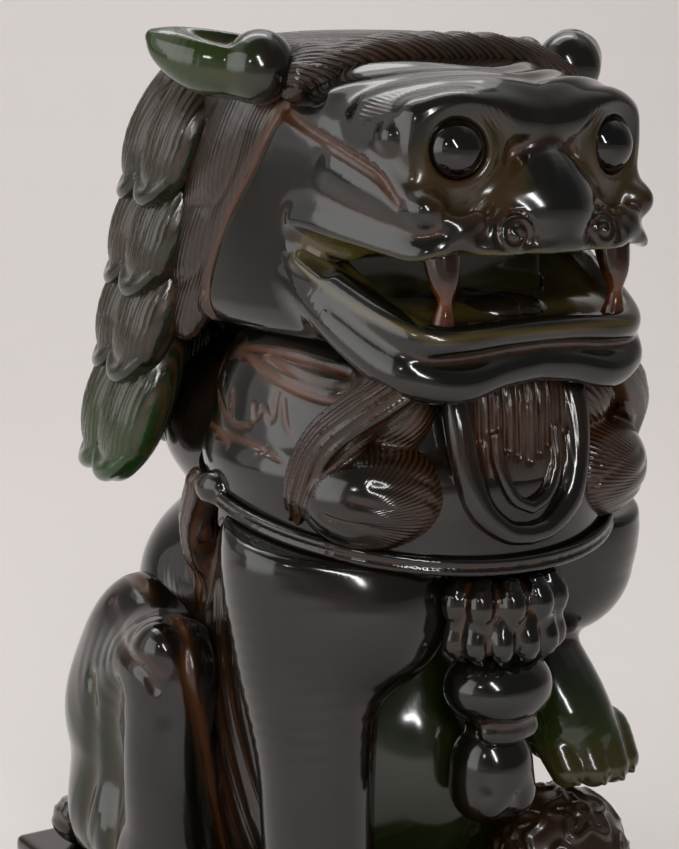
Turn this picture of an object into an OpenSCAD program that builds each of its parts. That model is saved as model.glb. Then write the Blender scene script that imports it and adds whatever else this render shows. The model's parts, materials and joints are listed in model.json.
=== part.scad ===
// Seated guardian lion ("foo dog") display figure in dark green resin.
// Each carved mass is a piece of its own, and pieces meet along the stained grooves.
// Millimetres. +Z is up, the lion faces -Y, and its right side is -X.
// The origin is the centre of the plinth's underside.

/* [Plinth] */
// Width of the plinth across the lion
plinth_w = 116; // [112:1:124]
// Depth of the plinth along the lion
plinth_d = 158; // [154:1:168]
// Height of the plinth's top face above the table
plinth_h = 22; // [20:1:23]
// Corner radius of the plinth
plinth_corner = 9; // [4:1:14]

/* [Body] */
// Distance from the middle plane to the middle of a foreleg
stance = 36; // [35:0.5:37]
// Radius of a shoulder
shoulder_r = 20; // [19:0.5:21]
// Radius of a foreleg at the wrist
wrist_r = 12; // [11:0.5:13]
// Diameter of the brocade ball under the left paw
ball_d = 37; // [36:0.5:38]

/* [Head] */
// Half of the head's width at the cheeks
head_half_w = 43; // [42:0.5:44]
// Height of the eyes above the table
eye_z = 220; // [219:0.5:221]
// Distance from the middle plane to an eye
eye_x = 22; // [21.5:0.5:22.5]
// Diameter of an eyeball
eye_d = 12.5; // [12:0.5:13]
// Length of an ear beyond its round base
ear_l = 24; // [20:1:26]

/* [Mane] */
// Locks in each row of the mane
lock_count = 9; // [7:2:9]
// Width of one lock
lock_w = 18; // [17:0.5:19]

/* [Hidden] */

RIGHT = -1;
LEFT = 1;
facets = 14;        // sides of the soft masses
fine_facets = 32;   // sides of the small round pieces
hair_facets = 8;    // sides of a lock, a toe or a cord

// Colours of the dark green resin, its stained carving and the amber teeth
resin = [0.07, 0.09, 0.07];
stained = [0.20, 0.13, 0.08];
amber = [0.55, 0.22, 0.06];

// ---- Shapes that repeat ----

// A ball of radius r at p
module blob(p, r, sides = facets) {
    translate(p) sphere(r = r, $fn = sides);
}

// An egg with the half sizes given, as one closed soft mass
module egg(p, half, turn = [0, 0, 0], sides = facets) {
    hull() translate(p) rotate(turn) scale(half) sphere(r = 1, $fn = sides);
}

// A tapered limb from a to b
module limb(a, ra, b, rb, sides = facets) {
    hull() {
        blob(a, ra, sides);
        blob(b, rb, sides);
    }
}

// Limbs joined end to end along a list of [point, radius]
module chain(stops, sides = facets) {
    for (i = [0 : len(stops) - 2])
        limb(stops[i][0], stops[i][1], stops[i + 1][0], stops[i + 1][1], sides);
}

// Mirrors to the lion's left where side is LEFT: masses are drawn for the right side
module on(side) {
    if (side == RIGHT) children();
    else mirror([1, 0, 0]) children();
}

// Everything under the height z, for cutting feet flat
module below(z) {
    translate([-150, -150, z - 200]) cube([300, 300, 200]);
}

// ---- Masses, each drawn whole; the pieces below cut them where they meet ----

module torso_mass() {
    hull() {
        egg([0, -14, 150], [40, 36, 26]);
        egg([0, -14, 118], [38, 45, 28]);
    }
    hull() {
        egg([0, -12, 112], [36, 47, 28]);
        egg([0, 6, 66], [34, 60, 40]);
    }
    hull() {
        egg([0, 18, 146], [40, 31, 26]);
        egg([0, 32, 100], [41, 33, 30]);
    }
    hull() {
        egg([0, 32, 100], [41, 33, 30]);
        egg([0, 38, 52], [40, 32, 34]);
    }
}

module haunch_mass() {
    egg([-38, 34, 62], [19, 29, 43]);
    limb([-41, 26, 72], 19, [-46, 4, 89], 12);
    limb([-46, 4, 89], 12, [-46, 4, 42], 14);
    limb([-40, 34, 44], 22, [-46, 4, 38], 15);
}

// Four toes side by side, the middle pair further forward
module toes(p, spread, r, drop = 0) {
    for (i = [-1.5 : 1 : 1.5]) {
        reach = abs(i) < 1 ? 0 : 3;
        limb([p[0] + i * spread, p[1] + 14, p[2] + 3], r + 1,
            [p[0] + i * spread * 1.15, p[1] + reach, p[2] - drop], r, hair_facets);
    }
}

module hind_paw_mass() {
    limb([-47, 0, 31], 12, [-47, -18, 28], 10);
    toes([-47, -27, 26.5], 5.6, 5.4);
}

module foreleg_right_mass() {
    chain([[[-stance, -42, 126], shoulder_r], [[-stance, -44, 96], shoulder_r - 4.5],
        [[-stance, -47, 60], wrist_r + 0.8], [[-stance, -49, 36], wrist_r + 0.5],
        [[-stance, -55, 31], wrist_r]]);
    toes([-stance, -70, 27.5], 6.2, 6.2);
}

// The left foreleg is lifted and its paw rests on the ball
module foreleg_left_mass() {
    chain([[[stance + 1, -42, 130], shoulder_r + 1], [[stance + 1, -41, 118], shoulder_r + 0.5],
        [[stance - 5, -32, 101], shoulder_r - 9], [[stance - 2, -49, 80], wrist_r - 0.5],
        [[stance, -53, 73], wrist_r - 1.5]]);
    toes([stance + 1, -61, 67], 5, 5, 2);
}

module ball_mass() {
    blob([stance - 3, -50, plinth_h + ball_d / 2], ball_d / 2, fine_facets);
}

module cape_mass() {
    hull() {
        egg([0, -27, 162], [45, 43, 22]);
        egg([0, -30, 148], [49, 47, 21]);
    }
    for (side = [RIGHT, LEFT]) on(side) egg([-33, -58, 142], [16, 16, 15]);
}

// The skull, the nape behind it that carries the mane, the cheeks, brows, muzzle and nose
module head_mass() {
    hull() {
        egg([0, -20, 208], [head_half_w, 36, 30]);
        egg([0, -46, 212], [head_half_w - 4, 30, 22]);
    }
    for (side = [RIGHT, LEFT]) on(side) {
        egg([-head_half_w + 9, -28, 194], [10, 27, 27]);
        egg([-20, -66, 226], [14, 13, 7]);
        egg([-26, -66, 207], [13, 15, 11]);
    }
    hull() {
        egg([0, 6, 202], [37, 32, 34]);
        egg([0, 26, 172], [36, 28, 24]);
    }
    egg([0, -72, 206], [28, 15, 10]);
    egg([0, -79, 206], [19, 12, 11]);
    limb([0, -64, 222], 9, [0, -82, 208], 9);
}

module jaw_mass() {
    hull() {
        egg([0, -62, 176], [30, 18, 8]);
        egg([0, -44, 175], [37, 16, 12]);
    }
    for (side = [RIGHT, LEFT]) on(side) limb([-26, -68, 176], 7, [-36, -33, 186], 9);
}

// The open mouth runs from one cheek to the other and widens towards the front
module mouth_space() {
    hull() {
        for (side = [RIGHT, LEFT]) on(side) {
            blob([-60, -43, 199], 2.8);
            blob([-50, -96, 186], 8);
        }
    }
}

// ---- Pieces ----

module rounded_slab(w, d, h, r) {
    linear_extrude(h) {
        square([w - 2 * r, d], center = true);
        square([w, d - 2 * r], center = true);
        for (x = [-1, 1], y = [-1, 1])
            translate([x * (w / 2 - r), y * (d / 2 - r)]) circle(r = r, $fn = 48);
    }
}

// Two plain bands with a hollow band between them
module plinth() {
    color(resin) {
        rounded_slab(plinth_w, plinth_d, 7, plinth_corner);
        translate([0, 0, 7]) rounded_slab(plinth_w - 7, plinth_d - 7, plinth_h - 12, plinth_corner - 3);
        translate([0, 0, plinth_h - 5]) rounded_slab(plinth_w, plinth_d, 5, plinth_corner);
    }
}

module torso() {
    color(resin) difference() {
        torso_mass();
        below(plinth_h);
        for (side = [RIGHT, LEFT]) on(side) {
            haunch_mass();
            hind_paw_mass();
        }
        foreleg_right_mass();
        foreleg_left_mass();
        cape_mass();
        mane_rows_mass();
        head_mass();
    }
}

module haunch(side) {
    color(resin) difference() {
        on(side) haunch_mass();
        below(plinth_h);
        on(side) hind_paw_mass();
    }
}

module hind_paw(side) {
    color(resin) difference() {
        on(side) hind_paw_mass();
        below(plinth_h);
    }
}

module foreleg_right() {
    color(resin) difference() {
        foreleg_right_mass();
        below(plinth_h);
        cape_mass();
        on(RIGHT) hind_paw_mass();
    }
}

module foreleg_left() {
    color(resin) difference() {
        foreleg_left_mass();
        ball_mass();
        cape_mass();
    }
}

module brocade_ball() {
    color(stained) ball_mass();
}

module cape() {
    color(resin) difference() {
        cape_mass();
        head_mass();
        jaw_mass();
        beard_mass();
        collar_mass();
        mane_rows_mass();
        for (side = [RIGHT, LEFT]) on(side) tuft_mass();
    }
}

// The collar is a cord along the cape's lower edge, low on the chest and high at the back
function collar_point(t) = [47 * sin(t), -30 - 50 * cos(t), 127 + 9 * (1 - cos(t))];

module collar_mass() {
    chain([for (t = [-132 : 12 : 132]) [collar_point(t), 2.4]], 6);
}

module collar_band() {
    color(stained) difference() {
        collar_mass();
        tassel_bell_mass();
    }
}

module head() {
    color(resin) difference() {
        head_mass();
        mouth_space();
        jaw_mass();
        tongue_mass();
        mane_rows_mass();
        crest_mass();
        for (side = [RIGHT, LEFT]) on(side) {
            eye_mass();
            ear_mass();
            fang_mass();
        }
    }
}

module lower_jaw() {
    color(resin) difference() {
        jaw_mass();
        mouth_space();
        tongue_mass();
        gum_mass();
        for (side = [RIGHT, LEFT]) on(side) fang_mass();
    }
}

module tongue_mass() {
    hull() {
        egg([0, -50, 181], [15, 12, 4]);
        egg([0, -66, 182], [12, 8, 4]);
    }
}

module tongue() {
    color(stained) tongue_mass();
}

// An upper and a lower fang meet tip to tip in each corner of the mouth
module fang_mass() {
    limb([-25, -75, 195], 4.2, [-25, -76, 184], 1.8, hair_facets);
    limb([-25, -76, 184], 1.8, [-25, -74, 178], 3.4, hair_facets);
}

module fang(side) {
    color(amber) on(side) fang_mass();
}

// A low ridge of small teeth runs round the front of the lower jaw between the fangs
module gum_mass() {
    chain([for (t = [-60 : 20 : 60]) [[23 * sin(t), -54 - 22 * cos(t), 178.5], 2.6]], 8);
    for (t = [-54 : 12 : 54])
        translate([23 * sin(t), -54 - 22 * cos(t), 181]) rotate(t) cube([3.4, 3, 4], center = true);
}

module gum_ridge() {
    color(stained) gum_mass();
}

module eye_mass() {
    blob([-eye_x, -75, eye_z], eye_d / 2, fine_facets);
}

module eye(side) {
    color("black") on(side) eye_mass();
}

module ear_mass() {
    egg([-43.5, -35, 236], [8.5, 8, 8.5]);
    hull() {
        egg([-45, -32, 235], [6, 7, 8]);
        egg([-43 - 0.62 * ear_l, -33 + 0.58 * ear_l, 241], [4, 6, 4.5]);
    }
}

module ear(side) {
    color(resin) on(side) ear_mass();
}

module crest_mass() {
    hull() {
        egg([0, -54, 231], [31, 10, 7]);
        egg([0, -16, 236], [34, 22, 10]);
    }
}

module crest() {
    color(stained) difference() {
        crest_mass();
        for (side = [RIGHT, LEFT]) on(side) ear_mass();
        mane_rows_mass();
    }
}

// [height, half width, half depth, middle Y, lock length] of each row of the mane, top first
ROWS = [
    [226, 38, 32, 6, 27],
    [205, 39, 33, 13, 28],
    [184, 40, 33, 19, 29],
    [161, 41, 32, 25, 32]
];

// The turn of lock i round the back of the head, from the right ear to the left ear
function lock_turn(i) = -8 + 196 * i / (lock_count - 1);

// A point of row k on turn t: 0 is the root of a lock and 1 is its tip
function lock_point(k, t, along) = [
    (ROWS[k][1] + 4 * along) * cos(t),
    ROWS[k][3] + (ROWS[k][2] + 6 * along) * sin(t),
    ROWS[k][0] - ROWS[k][4] * 0.45 * along
];

// A row is a half ring of locks that hang down and outwards, tied by a band behind them
module mane_row_mass(k) {
    for (i = [0 : lock_count - 1])
        limb(lock_point(k, lock_turn(i), 0), lock_w * 0.46,
            lock_point(k, lock_turn(i), 1), lock_w * 0.4, hair_facets);
    for (i = [0 : lock_count - 2])
        limb(lock_point(k, lock_turn(i), 0.7), 4, lock_point(k, lock_turn(i + 1), 0.7), 4, 5);
}

module mane_rows_mass() {
    for (k = [0 : 3]) mane_row_mass(k);
}

// Each row keeps its own locks and gives way to the row above that overlies it
module mane_row(k) {
    color(stained) difference() {
        mane_row_mass(k);
        if (k > 0) mane_row_mass(k - 1);
        for (side = [RIGHT, LEFT]) on(side) ear_mass();
    }
}

module beard_mass() {
    hull() {
        egg([0, -72, 163], [19, 10, 8]);
        egg([0, -76, 139], [14, 8, 9]);
    }
}

module beard() {
    color(stained) difference() {
        beard_mass();
        jaw_mass();
        collar_mass();
    }
}

module tuft_mass() {
    hull() {
        egg([-31, -60, 163], [12, 9, 9], [0, 0, -37]);
        egg([-32, -60, 143], [16, 11, 12], [0, 0, -37]);
    }
}

module beard_tuft(side) {
    color(stained) difference() {
        on(side) tuft_mass();
        jaw_mass();
        beard_mass();
        collar_mass();
    }
}

module tassel_bell_mass() {
    egg([0, -70, 114], [17, 13, 11]);
}

module tassel_bell() {
    color(resin) difference() {
        tassel_bell_mass();
        cape_mass();
        torso_mass();
    }
}

module tassel_bead_mass() {
    egg([0, -68, 95], [13.5, 12, 10.5]);
}

module tassel_bead() {
    color(resin) difference() {
        tassel_bead_mass();
        tassel_bell_mass();
        torso_mass();
    }
}

module tassel_drop_mass() {
    egg([0, -66, 75], [10, 10, 12]);
}

module tassel_drop() {
    color(resin) difference() {
        tassel_drop_mass();
        tassel_bead_mass();
        torso_mass();
    }
}

module tail_mass() {
    chain([[[0, 64, 60], 9], [[-14, 68, 42], 9], [[-34, 68, 30], 9], [[-48, 61, 30], 8]], hair_facets);
    chain([[[0, 64, 60], 9], [[4, 66, 82], 8], [[0, 62, 100], 6]], hair_facets);
}

module tail() {
    color(stained) difference() {
        tail_mass();
        below(plinth_h);
        torso_mass();
        for (side = [RIGHT, LEFT]) on(side) haunch_mass();
    }
}

plinth();
torso();
haunch(RIGHT);  // haunch_right
haunch(LEFT);  // haunch_left
hind_paw(RIGHT);  // hind_paw_right
hind_paw(LEFT);  // hind_paw_left
foreleg_right();
foreleg_left();
brocade_ball();
cape();
collar_band();
head();
lower_jaw();
tongue();
fang(RIGHT);  // fang_right
fang(LEFT);  // fang_left
gum_ridge();
eye(RIGHT);  // eye_right
eye(LEFT);  // eye_left
ear(RIGHT);  // ear_right
ear(LEFT);  // ear_left
crest();
mane_row(0);  // mane_row_1
mane_row(1);  // mane_row_2
mane_row(2);  // mane_row_3
mane_row(3);  // mane_row_4
beard();
beard_tuft(RIGHT);  // beard_tuft_right
beard_tuft(LEFT);  // beard_tuft_left
tassel_bell();
tassel_bead();
tassel_drop();
tail();
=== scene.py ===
# %% [markdown]
# # Guardian lion in dark green resin
# A seated guardian lion, about 246 mm tall, looks slightly to its right. The real object is cast
# in a deep bottle-green resin that reads as black, polished by hand, and rubbed with a brown
# stain that stays only in the carved lines. Each carved mass is sculpted here as a smooth
# distance field in millimetres and turned into a mesh, because the real carving has no sharp
# corners: every mass melts into the next through a rounded valley.

# %% Frame and camera
import math
import bpy
import numpy as np
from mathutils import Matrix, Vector
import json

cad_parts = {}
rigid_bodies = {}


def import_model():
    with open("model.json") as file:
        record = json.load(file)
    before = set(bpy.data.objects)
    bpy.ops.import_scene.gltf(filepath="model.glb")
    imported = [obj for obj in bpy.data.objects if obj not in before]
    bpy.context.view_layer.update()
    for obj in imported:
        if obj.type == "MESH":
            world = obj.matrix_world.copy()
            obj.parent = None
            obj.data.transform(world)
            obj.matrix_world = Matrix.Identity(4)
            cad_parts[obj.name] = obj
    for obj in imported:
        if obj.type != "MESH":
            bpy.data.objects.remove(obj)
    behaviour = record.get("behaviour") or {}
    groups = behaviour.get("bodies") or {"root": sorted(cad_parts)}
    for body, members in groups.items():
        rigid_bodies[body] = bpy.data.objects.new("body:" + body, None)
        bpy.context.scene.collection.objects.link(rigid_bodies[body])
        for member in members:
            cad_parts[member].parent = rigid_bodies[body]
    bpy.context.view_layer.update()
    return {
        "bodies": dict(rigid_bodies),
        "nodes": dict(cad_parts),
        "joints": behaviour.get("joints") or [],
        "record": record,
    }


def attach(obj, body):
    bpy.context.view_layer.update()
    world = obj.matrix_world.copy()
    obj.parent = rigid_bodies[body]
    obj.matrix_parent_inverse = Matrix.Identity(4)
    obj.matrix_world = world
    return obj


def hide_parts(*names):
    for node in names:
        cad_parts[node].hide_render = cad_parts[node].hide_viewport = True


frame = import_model()
MM = 0.001
scene = bpy.context.scene
lens = bpy.data.cameras.new("view")
camera = bpy.data.objects.new("view", lens)
scene.collection.objects.link(camera)
scene.camera = camera
VIEW_TURN = math.radians(-32.6)
VIEW_TILT = math.radians(79.6)
camera.location = (-0.2758, -0.4313, 0.240)
camera.rotation_euler = (VIEW_TILT, 0, VIEW_TURN)
lens.lens = 86.84
lens.sensor_width = 36
lens.clip_start = 0.01

# %% [markdown]
# ## Distance fields
# A field gives, for each point in space, the distance to a surface, negative inside. Masses are
# joined with a rounded minimum, which leaves the soft valley that a carver's file leaves.
# Engraved lines are shallow troughs along a smooth path, and they report how deep in a line
# each point lies, so that the brown stain can follow them exactly.

# %% Rounded joins
def smin(a, b, k):
    """The union of two masses, with a valley about k mm wide where they meet."""
    h = np.clip(0.5 + 0.5 * (b - a) / k, 0, 1)
    return b + (a - b) * h - k * h * (1 - h)


def smax(a, b, k):
    """What two masses share, with an edge rounded over k mm."""
    return -smin(-a, -b, k)


# %% [markdown]
# ### Simple masses
# An egg and a rounded block are enough for the big masses. Both can be turned about their own
# centre before they are measured.

# %% Simple masses
def turned(p, centre, turn=(0, 0, 0)):
    q = p - np.array(centre, np.float32)
    if any(turn):
        x, y, z = (math.radians(v) for v in turn)
        rx = np.array([[1, 0, 0], [0, math.cos(x), -math.sin(x)], [0, math.sin(x), math.cos(x)]])
        ry = np.array([[math.cos(y), 0, math.sin(y)], [0, 1, 0], [-math.sin(y), 0, math.cos(y)]])
        rz = np.array([[math.cos(z), -math.sin(z), 0], [math.sin(z), math.cos(z), 0], [0, 0, 1]])
        q = q @ (rz @ ry @ rx).astype(np.float32)
    return q


def egg(p, centre, half, turn=(0, 0, 0)):
    q = turned(p, centre, turn)
    r = np.array(half, np.float32)
    k0 = np.sqrt(((q / r) ** 2).sum(1))
    k1 = np.sqrt(((q / (r * r)) ** 2).sum(1))
    return k0 * (k0 - 1) / np.maximum(k1, 1e-6)


def block(p, centre, half, round_off, turn=(0, 0, 0)):
    q = np.abs(turned(p, centre, turn)) - (np.array(half, np.float32) - round_off)
    return np.sqrt((np.maximum(q, 0) ** 2).sum(1)) + np.minimum(q.max(1), 0) - round_off


# %% [markdown]
# ### Paths and tubes
# Lips, lids, straps and locks follow a path. A tube gives the distance to a smooth path whose
# radius changes along it, and a line is a tube with no radius, for engraving. Points far from
# the path are skipped, which keeps hundreds of lines quick.

# %% Paths and tubes
def curve(points, steps=6):
    """A smooth path through the points given (Catmull-Rom), any number of columns."""
    p = np.array(points, np.float32)
    p = np.vstack([2 * p[0] - p[1], p, 2 * p[-1] - p[-2]])
    t = np.arange(steps)[:, None] / steps
    rows = []
    for i in range(1, len(p) - 2):
        a, b, c, d = p[i - 1:i + 3]
        rows.append(0.5 * (2 * b + (c - a) * t + (2 * a - 5 * b + 4 * c - d) * t * t
                           + (3 * b - a - 3 * c + d) * t ** 3))
    return np.vstack(rows + [p[-2:-1]]).astype(np.float32)


FAR = 60.0


def tube(p, stops, steps=6, reach=14.0):
    """Distance to a smooth tube of changing radius, stops = [(x, y, z, radius), ...]."""
    s = curve(stops, steps)
    low = (s[:, :3] - s[:, 3:]).min(0) - reach
    high = (s[:, :3] + s[:, 3:]).max(0) + reach
    near = np.all((p > low) & (p < high), 1)
    out = np.full(len(p), FAR, np.float32)
    q = p[near]
    best = np.full(len(q), FAR, np.float32)
    for a, b in zip(s[:-1], s[1:]):
        ab = b[:3] - a[:3]
        t = np.clip(((q - a[:3]) @ ab) / max(float(ab @ ab), 1e-6), 0, 1)
        d = np.sqrt(((q - a[:3] - t[:, None] * ab) ** 2).sum(1)) - (a[3] + t * (b[3] - a[3]))
        best = np.minimum(best, d)
    out[near] = best
    return out


def line(p, points, steps=5, reach=4.0):
    """Distance to a thin engraved line through the points."""
    return tube(p, [tuple(v) + (0.0,) for v in points], steps, reach)


def trough(distance, width):
    return np.exp(-(np.minimum(distance, 30) / width) ** 2)


# %% [markdown]
# ### Two sides
# The lion is nearly the same on both sides, so each mass is described once, on its right side.
# Paired pieces are made by flipping space, and middle pieces by folding it.

# %% Two sides
RIGHT, LEFT = -1, 1
SIDES = ((RIGHT, "right"), (LEFT, "left"))


def mirrored(p):
    """Folds both sides of the lion onto its right side, where the masses are described."""
    q = p.copy()
    q[:, 0] = -np.abs(q[:, 0])
    return q


def flipped(p, side):
    if side == RIGHT:
        return p
    q = p.copy()
    q[:, 0] = -q[:, 0]
    return q

# %% [markdown]
# ## From field to mesh
# The field is sampled on a grid, but only near the surface: first once per block of the grid,
# then at every corner of the blocks that the surface may cross. One point is placed in each
# cell that the surface crosses, then slid along the field's slope until it lies on the surface.

# %% Samples near the surface
BLOCK = 8           # grid cells along one side of a block
HALF_DIAGONAL = 0.87
STRETCH = 1.35      # a field may be this much steeper than a true distance
MARGIN = 1.5        # mm, for engraved lines narrower than a block
BATCH = 400000      # points measured at a time, which limits memory


def near_surface(form, low, high, step):
    """Field values on a grid: exact near the surface, only the sign elsewhere."""
    size = BLOCK
    count = np.ceil((high - low) / step / size).astype(int)
    shape = count * size + 1
    grid = np.stack(np.meshgrid(*[np.arange(n) for n in count], indexing="ij"), -1).reshape(-1, 3)
    middle = (low + (grid * size + size / 2) * step).astype(np.float32)
    rough = form(middle)
    keep = np.abs(rough) < HALF_DIAGONAL * size * step * STRETCH + MARGIN
    sign = np.sign(rough).reshape(count).astype(np.float32) * 5
    for axis in range(3):
        sign = np.repeat(sign, size, axis)
    dense = np.pad(sign, [(0, 1)] * 3, mode="edge")
    mark = np.zeros(shape, bool)
    for i, j, k in grid[keep] * size:
        mark[i:i + size + 1, j:j + size + 1, k:k + size + 1] = True
    where = np.argwhere(mark)
    values = np.empty(len(where), np.float32)
    for start in range(0, len(where), BATCH):
        part = where[start:start + BATCH]
        values[start:start + BATCH] = form((low + part * step).astype(np.float32))
    dense[mark] = values
    return dense


# %% [markdown]
# ### Faces round the cells
# Where the sign changes along a grid edge, the four cells round that edge share a face. The
# points are then moved along the slope of the field, twice, so that they lie on the surface.

# %% Faces round the cells
def surface(form, low, high, step):
    """Vertices and quads of the zero level of the field, wound outwards."""
    low = np.array(low, float)
    high = np.array(high, float)
    d = near_surface(form, low, high, step)
    inside = d < 0
    corners = np.array([[i, j, k] for i in (0, 1) for j in (0, 1) for k in (0, 1)])
    n = np.array(d.shape) - 1

    def corner(array, c):
        return array[c[0]:c[0] + n[0], c[1]:c[1] + n[1], c[2]:c[2] + n[2]]

    total = sum(corner(inside, c).astype(np.uint8) for c in corners)
    cells = np.argwhere((total > 0) & (total < 8))
    number = np.full(n, -1, np.int32)
    number[tuple(cells.T)] = np.arange(len(cells))
    place = np.zeros((len(cells), 3))
    hits = np.zeros(len(cells))
    for a in range(8):
        for b in range(a + 1, 8):
            if np.abs(corners[a] - corners[b]).sum() != 1:
                continue
            da = d[tuple((cells + corners[a]).T)]
            db = d[tuple((cells + corners[b]).T)]
            cross = (da < 0) != (db < 0)
            t = np.where(cross, da / np.where(cross, da - db, 1), 0)
            point = corners[a] + t[:, None] * (corners[b] - corners[a])
            place += np.where(cross[:, None], point, 0)
            hits += cross
    vertices = (low + (cells + place / hits[:, None]) * step).astype(np.float32)
    quads = []
    for axis in range(3):
        u, v = (axis + 1) % 3, (axis + 2) % 3
        first = [slice(None)] * 3
        second = [slice(None)] * 3
        first[axis] = slice(0, -1)
        second[axis] = slice(1, None)
        a, b = inside[tuple(first)], inside[tuple(second)]
        edges = np.argwhere(a != b)
        ok = (edges[:, u] > 0) & (edges[:, v] > 0) & (edges[:, u] < n[u]) & (edges[:, v] < n[v])
        edges = edges[ok]
        du = np.zeros(3, int)
        dv = np.zeros(3, int)
        du[u] = 1
        dv[v] = 1
        ring = [number[tuple((edges - du - dv).T)], number[tuple((edges - dv).T)],
                number[tuple(edges.T)], number[tuple((edges - du).T)]]
        ring = np.stack(ring, 1)
        out = a[tuple(edges.T)]
        ring[~out] = ring[~out][:, ::-1]
        quads.append(ring)
    quads = np.vstack(quads)
    for _ in range(2):
        value = form(vertices)
        slope = np.stack([form(vertices + e) - form(vertices - e)
                          for e in np.eye(3, dtype=np.float32) * 0.1], 1) / 0.2
        move = value[:, None] * slope / np.maximum((slope ** 2).sum(1), 0.25)[:, None]
        vertices = vertices - np.clip(move, -0.4 * step, 0.4 * step)
    return vertices, quads


# %% [markdown]
# ### Hollows
# Stain rubbed over a carving stays in its hollows. A hollow is where the surface lies below a
# smoothed copy of itself, so the mesh is averaged a few times and compared with the original.

# %% Hollows
def hollows(vertices, quads, rounds, scale):
    """How deep each vertex lies in a valley of the surface, 0 to 1."""
    pairs = np.vstack([quads[:, [i, (i + 1) % 4]] for i in range(4)])
    count = np.bincount(pairs[:, 0], minlength=len(vertices)) + np.bincount(
        pairs[:, 1], minlength=len(vertices))
    smooth = vertices.astype(float)
    for _ in range(rounds):
        total = np.zeros_like(smooth)
        for axis in range(3):
            total[:, axis] = np.bincount(pairs[:, 0], smooth[pairs[:, 1], axis], len(vertices))
            total[:, axis] += np.bincount(pairs[:, 1], smooth[pairs[:, 0], axis], len(vertices))
        smooth = total / np.maximum(count, 1)[:, None]
    e1 = vertices[quads[:, 2]] - vertices[quads[:, 0]]
    e2 = vertices[quads[:, 3]] - vertices[quads[:, 1]]
    face = np.cross(e1, e2)
    normal = np.zeros_like(smooth)
    for c in range(4):
        for axis in range(3):
            normal[:, axis] += np.bincount(quads[:, c], face[:, axis], len(vertices))
    normal /= np.maximum(np.linalg.norm(normal, axis=1), 1e-9)[:, None]
    return np.clip(((smooth - vertices) * normal).sum(1) / scale, 0, 1)

# %% [markdown]
# ## Handing a piece over
# A carved mesh becomes a finished piece when it has a material, a body to ride on and the names
# of the plain solids that it stands in for. Each vertex also carries four numbers: how much
# stain lies there, how much painted glow stands there for light shining through thin resin,
# and which hair strand it belongs to.

# %% Finished pieces
def new_piece(name, mesh, material, nodes):
    piece = bpy.data.objects.new(name, mesh)
    scene.collection.objects.link(piece)
    mesh.materials.clear()
    mesh.materials.append(material)
    mesh.polygons.foreach_set("use_smooth", np.ones(len(mesh.polygons), bool))
    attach(piece, "root")
    if nodes:
        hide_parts(*nodes)
    return piece


SMOOTHINGS = 5      # how far round each point a hollow is looked for
HOLLOW_STAIN = 0.6


def carve(name, form, low, high, step, marks=None, cavity=0.30):
    """The mesh of one form: marks(points) gives its stain, painted glow and hair strands."""
    vertices, quads = surface(form, low, high, step)
    mesh = bpy.data.meshes.new(name)
    mesh.vertices.add(len(vertices))
    mesh.vertices.foreach_set("co", (vertices * MM).astype(np.float32).ravel())
    mesh.loops.add(4 * len(quads))
    mesh.loops.foreach_set("vertex_index", quads.ravel().astype(np.int32))
    mesh.polygons.add(len(quads))
    mesh.polygons.foreach_set("loop_start", np.arange(0, 4 * len(quads), 4, dtype=np.int32))
    mesh.update(calc_edges=True)
    values = {key: np.zeros(len(vertices)) for key in ("stain", "glow", "hair", "strand")}
    if marks:
        values.update(marks(vertices))
    cavities = hollows(vertices, quads, SMOOTHINGS, cavity)
    values["stain"] = np.clip(np.maximum(values["stain"], HOLLOW_STAIN * cavities), 0, 1)
    for key, value in values.items():
        mesh.attributes.new(key, "FLOAT", "POINT").data.foreach_set("value", value.astype(np.float32))
    print(f"{name}: {2 * len(quads)} triangles, mm from", np.round(vertices.min(0), 1), "to",
          np.round(vertices.max(0), 1))
    return mesh


def sculpt(name, form, low, high, step, material, nodes, marks=None):
    """One carved piece, finished and handed over."""
    mesh = carve(name, form, low, high, step, marks)
    return new_piece(name, mesh, material, nodes)


# %% [markdown]
# ## Resin
# The statue is one material: cast polyester resin, filled so dark that it looks black, with an
# index of refraction of about 1.55 and a buffed surface. What changes from place to place is
# the stain left in the cuts and a painted glow, a lighter colour standing for light that shines
# through where the resin is thin, so one function makes every finish from four colours and a
# roughness.

# %% Colours and nodes
def linear(code):
    """sRGB hex to the linear values that Blender mixes in."""
    channel = [int(code[i:i + 2], 16) / 255 for i in (0, 2, 4)]
    return [c / 12.92 if c <= 0.04045 else ((c + 0.055) / 1.055) ** 2.4 for c in channel] + [1.0]


def add(tree, kind, settings=None, inputs=None, links=None):
    """Adds one node: settings on the node, constant inputs, and links from other sockets."""
    node = tree.nodes.new(kind)
    for key, value in (settings or {}).items():
        setattr(node, key, value)
    for key, value in (inputs or {}).items():
        node.inputs[key].default_value = value
    for key, source in (links or {}).items():
        tree.links.new(source, node.inputs[key])
    return node


def attribute(tree, name):
    return add(tree, "ShaderNodeAttribute", {"attribute_name": name}).outputs["Fac"]


def maths(tree, operation, a, b=None, clamp=False):
    node = add(tree, "ShaderNodeMath", {"operation": operation, "use_clamp": clamp})
    for i, v in enumerate((a, b)):
        if v is None:
            continue
        if isinstance(v, (int, float)):
            node.inputs[i].default_value = v
        else:
            tree.links.new(v, node.inputs[i])
    return node.outputs[0]


def blend_colour(tree, amount, first, second):
    node = add(tree, "ShaderNodeMix", {"data_type": "RGBA"}, links={0: amount})
    for socket, value in ((node.inputs[6], first), (node.inputs[7], second)):
        if isinstance(value, list):
            socket.default_value = value
        else:
            tree.links.new(value, socket)
    return node.outputs[2]


# %% [markdown]
# ### One function for every finish
# The body colour is clouded with a warmer brown, because the real resin is not evenly mixed.
# Thin parts blend towards a painted glow colour that stands for light shining through them, and
# cuts and strands towards the stain, which is also rougher.
# Strands are a sine wave in the strand number, and it sinks them a fifth of a millimetre.

# %% Resin function
WARM_BROWN = "1d120c"


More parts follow.
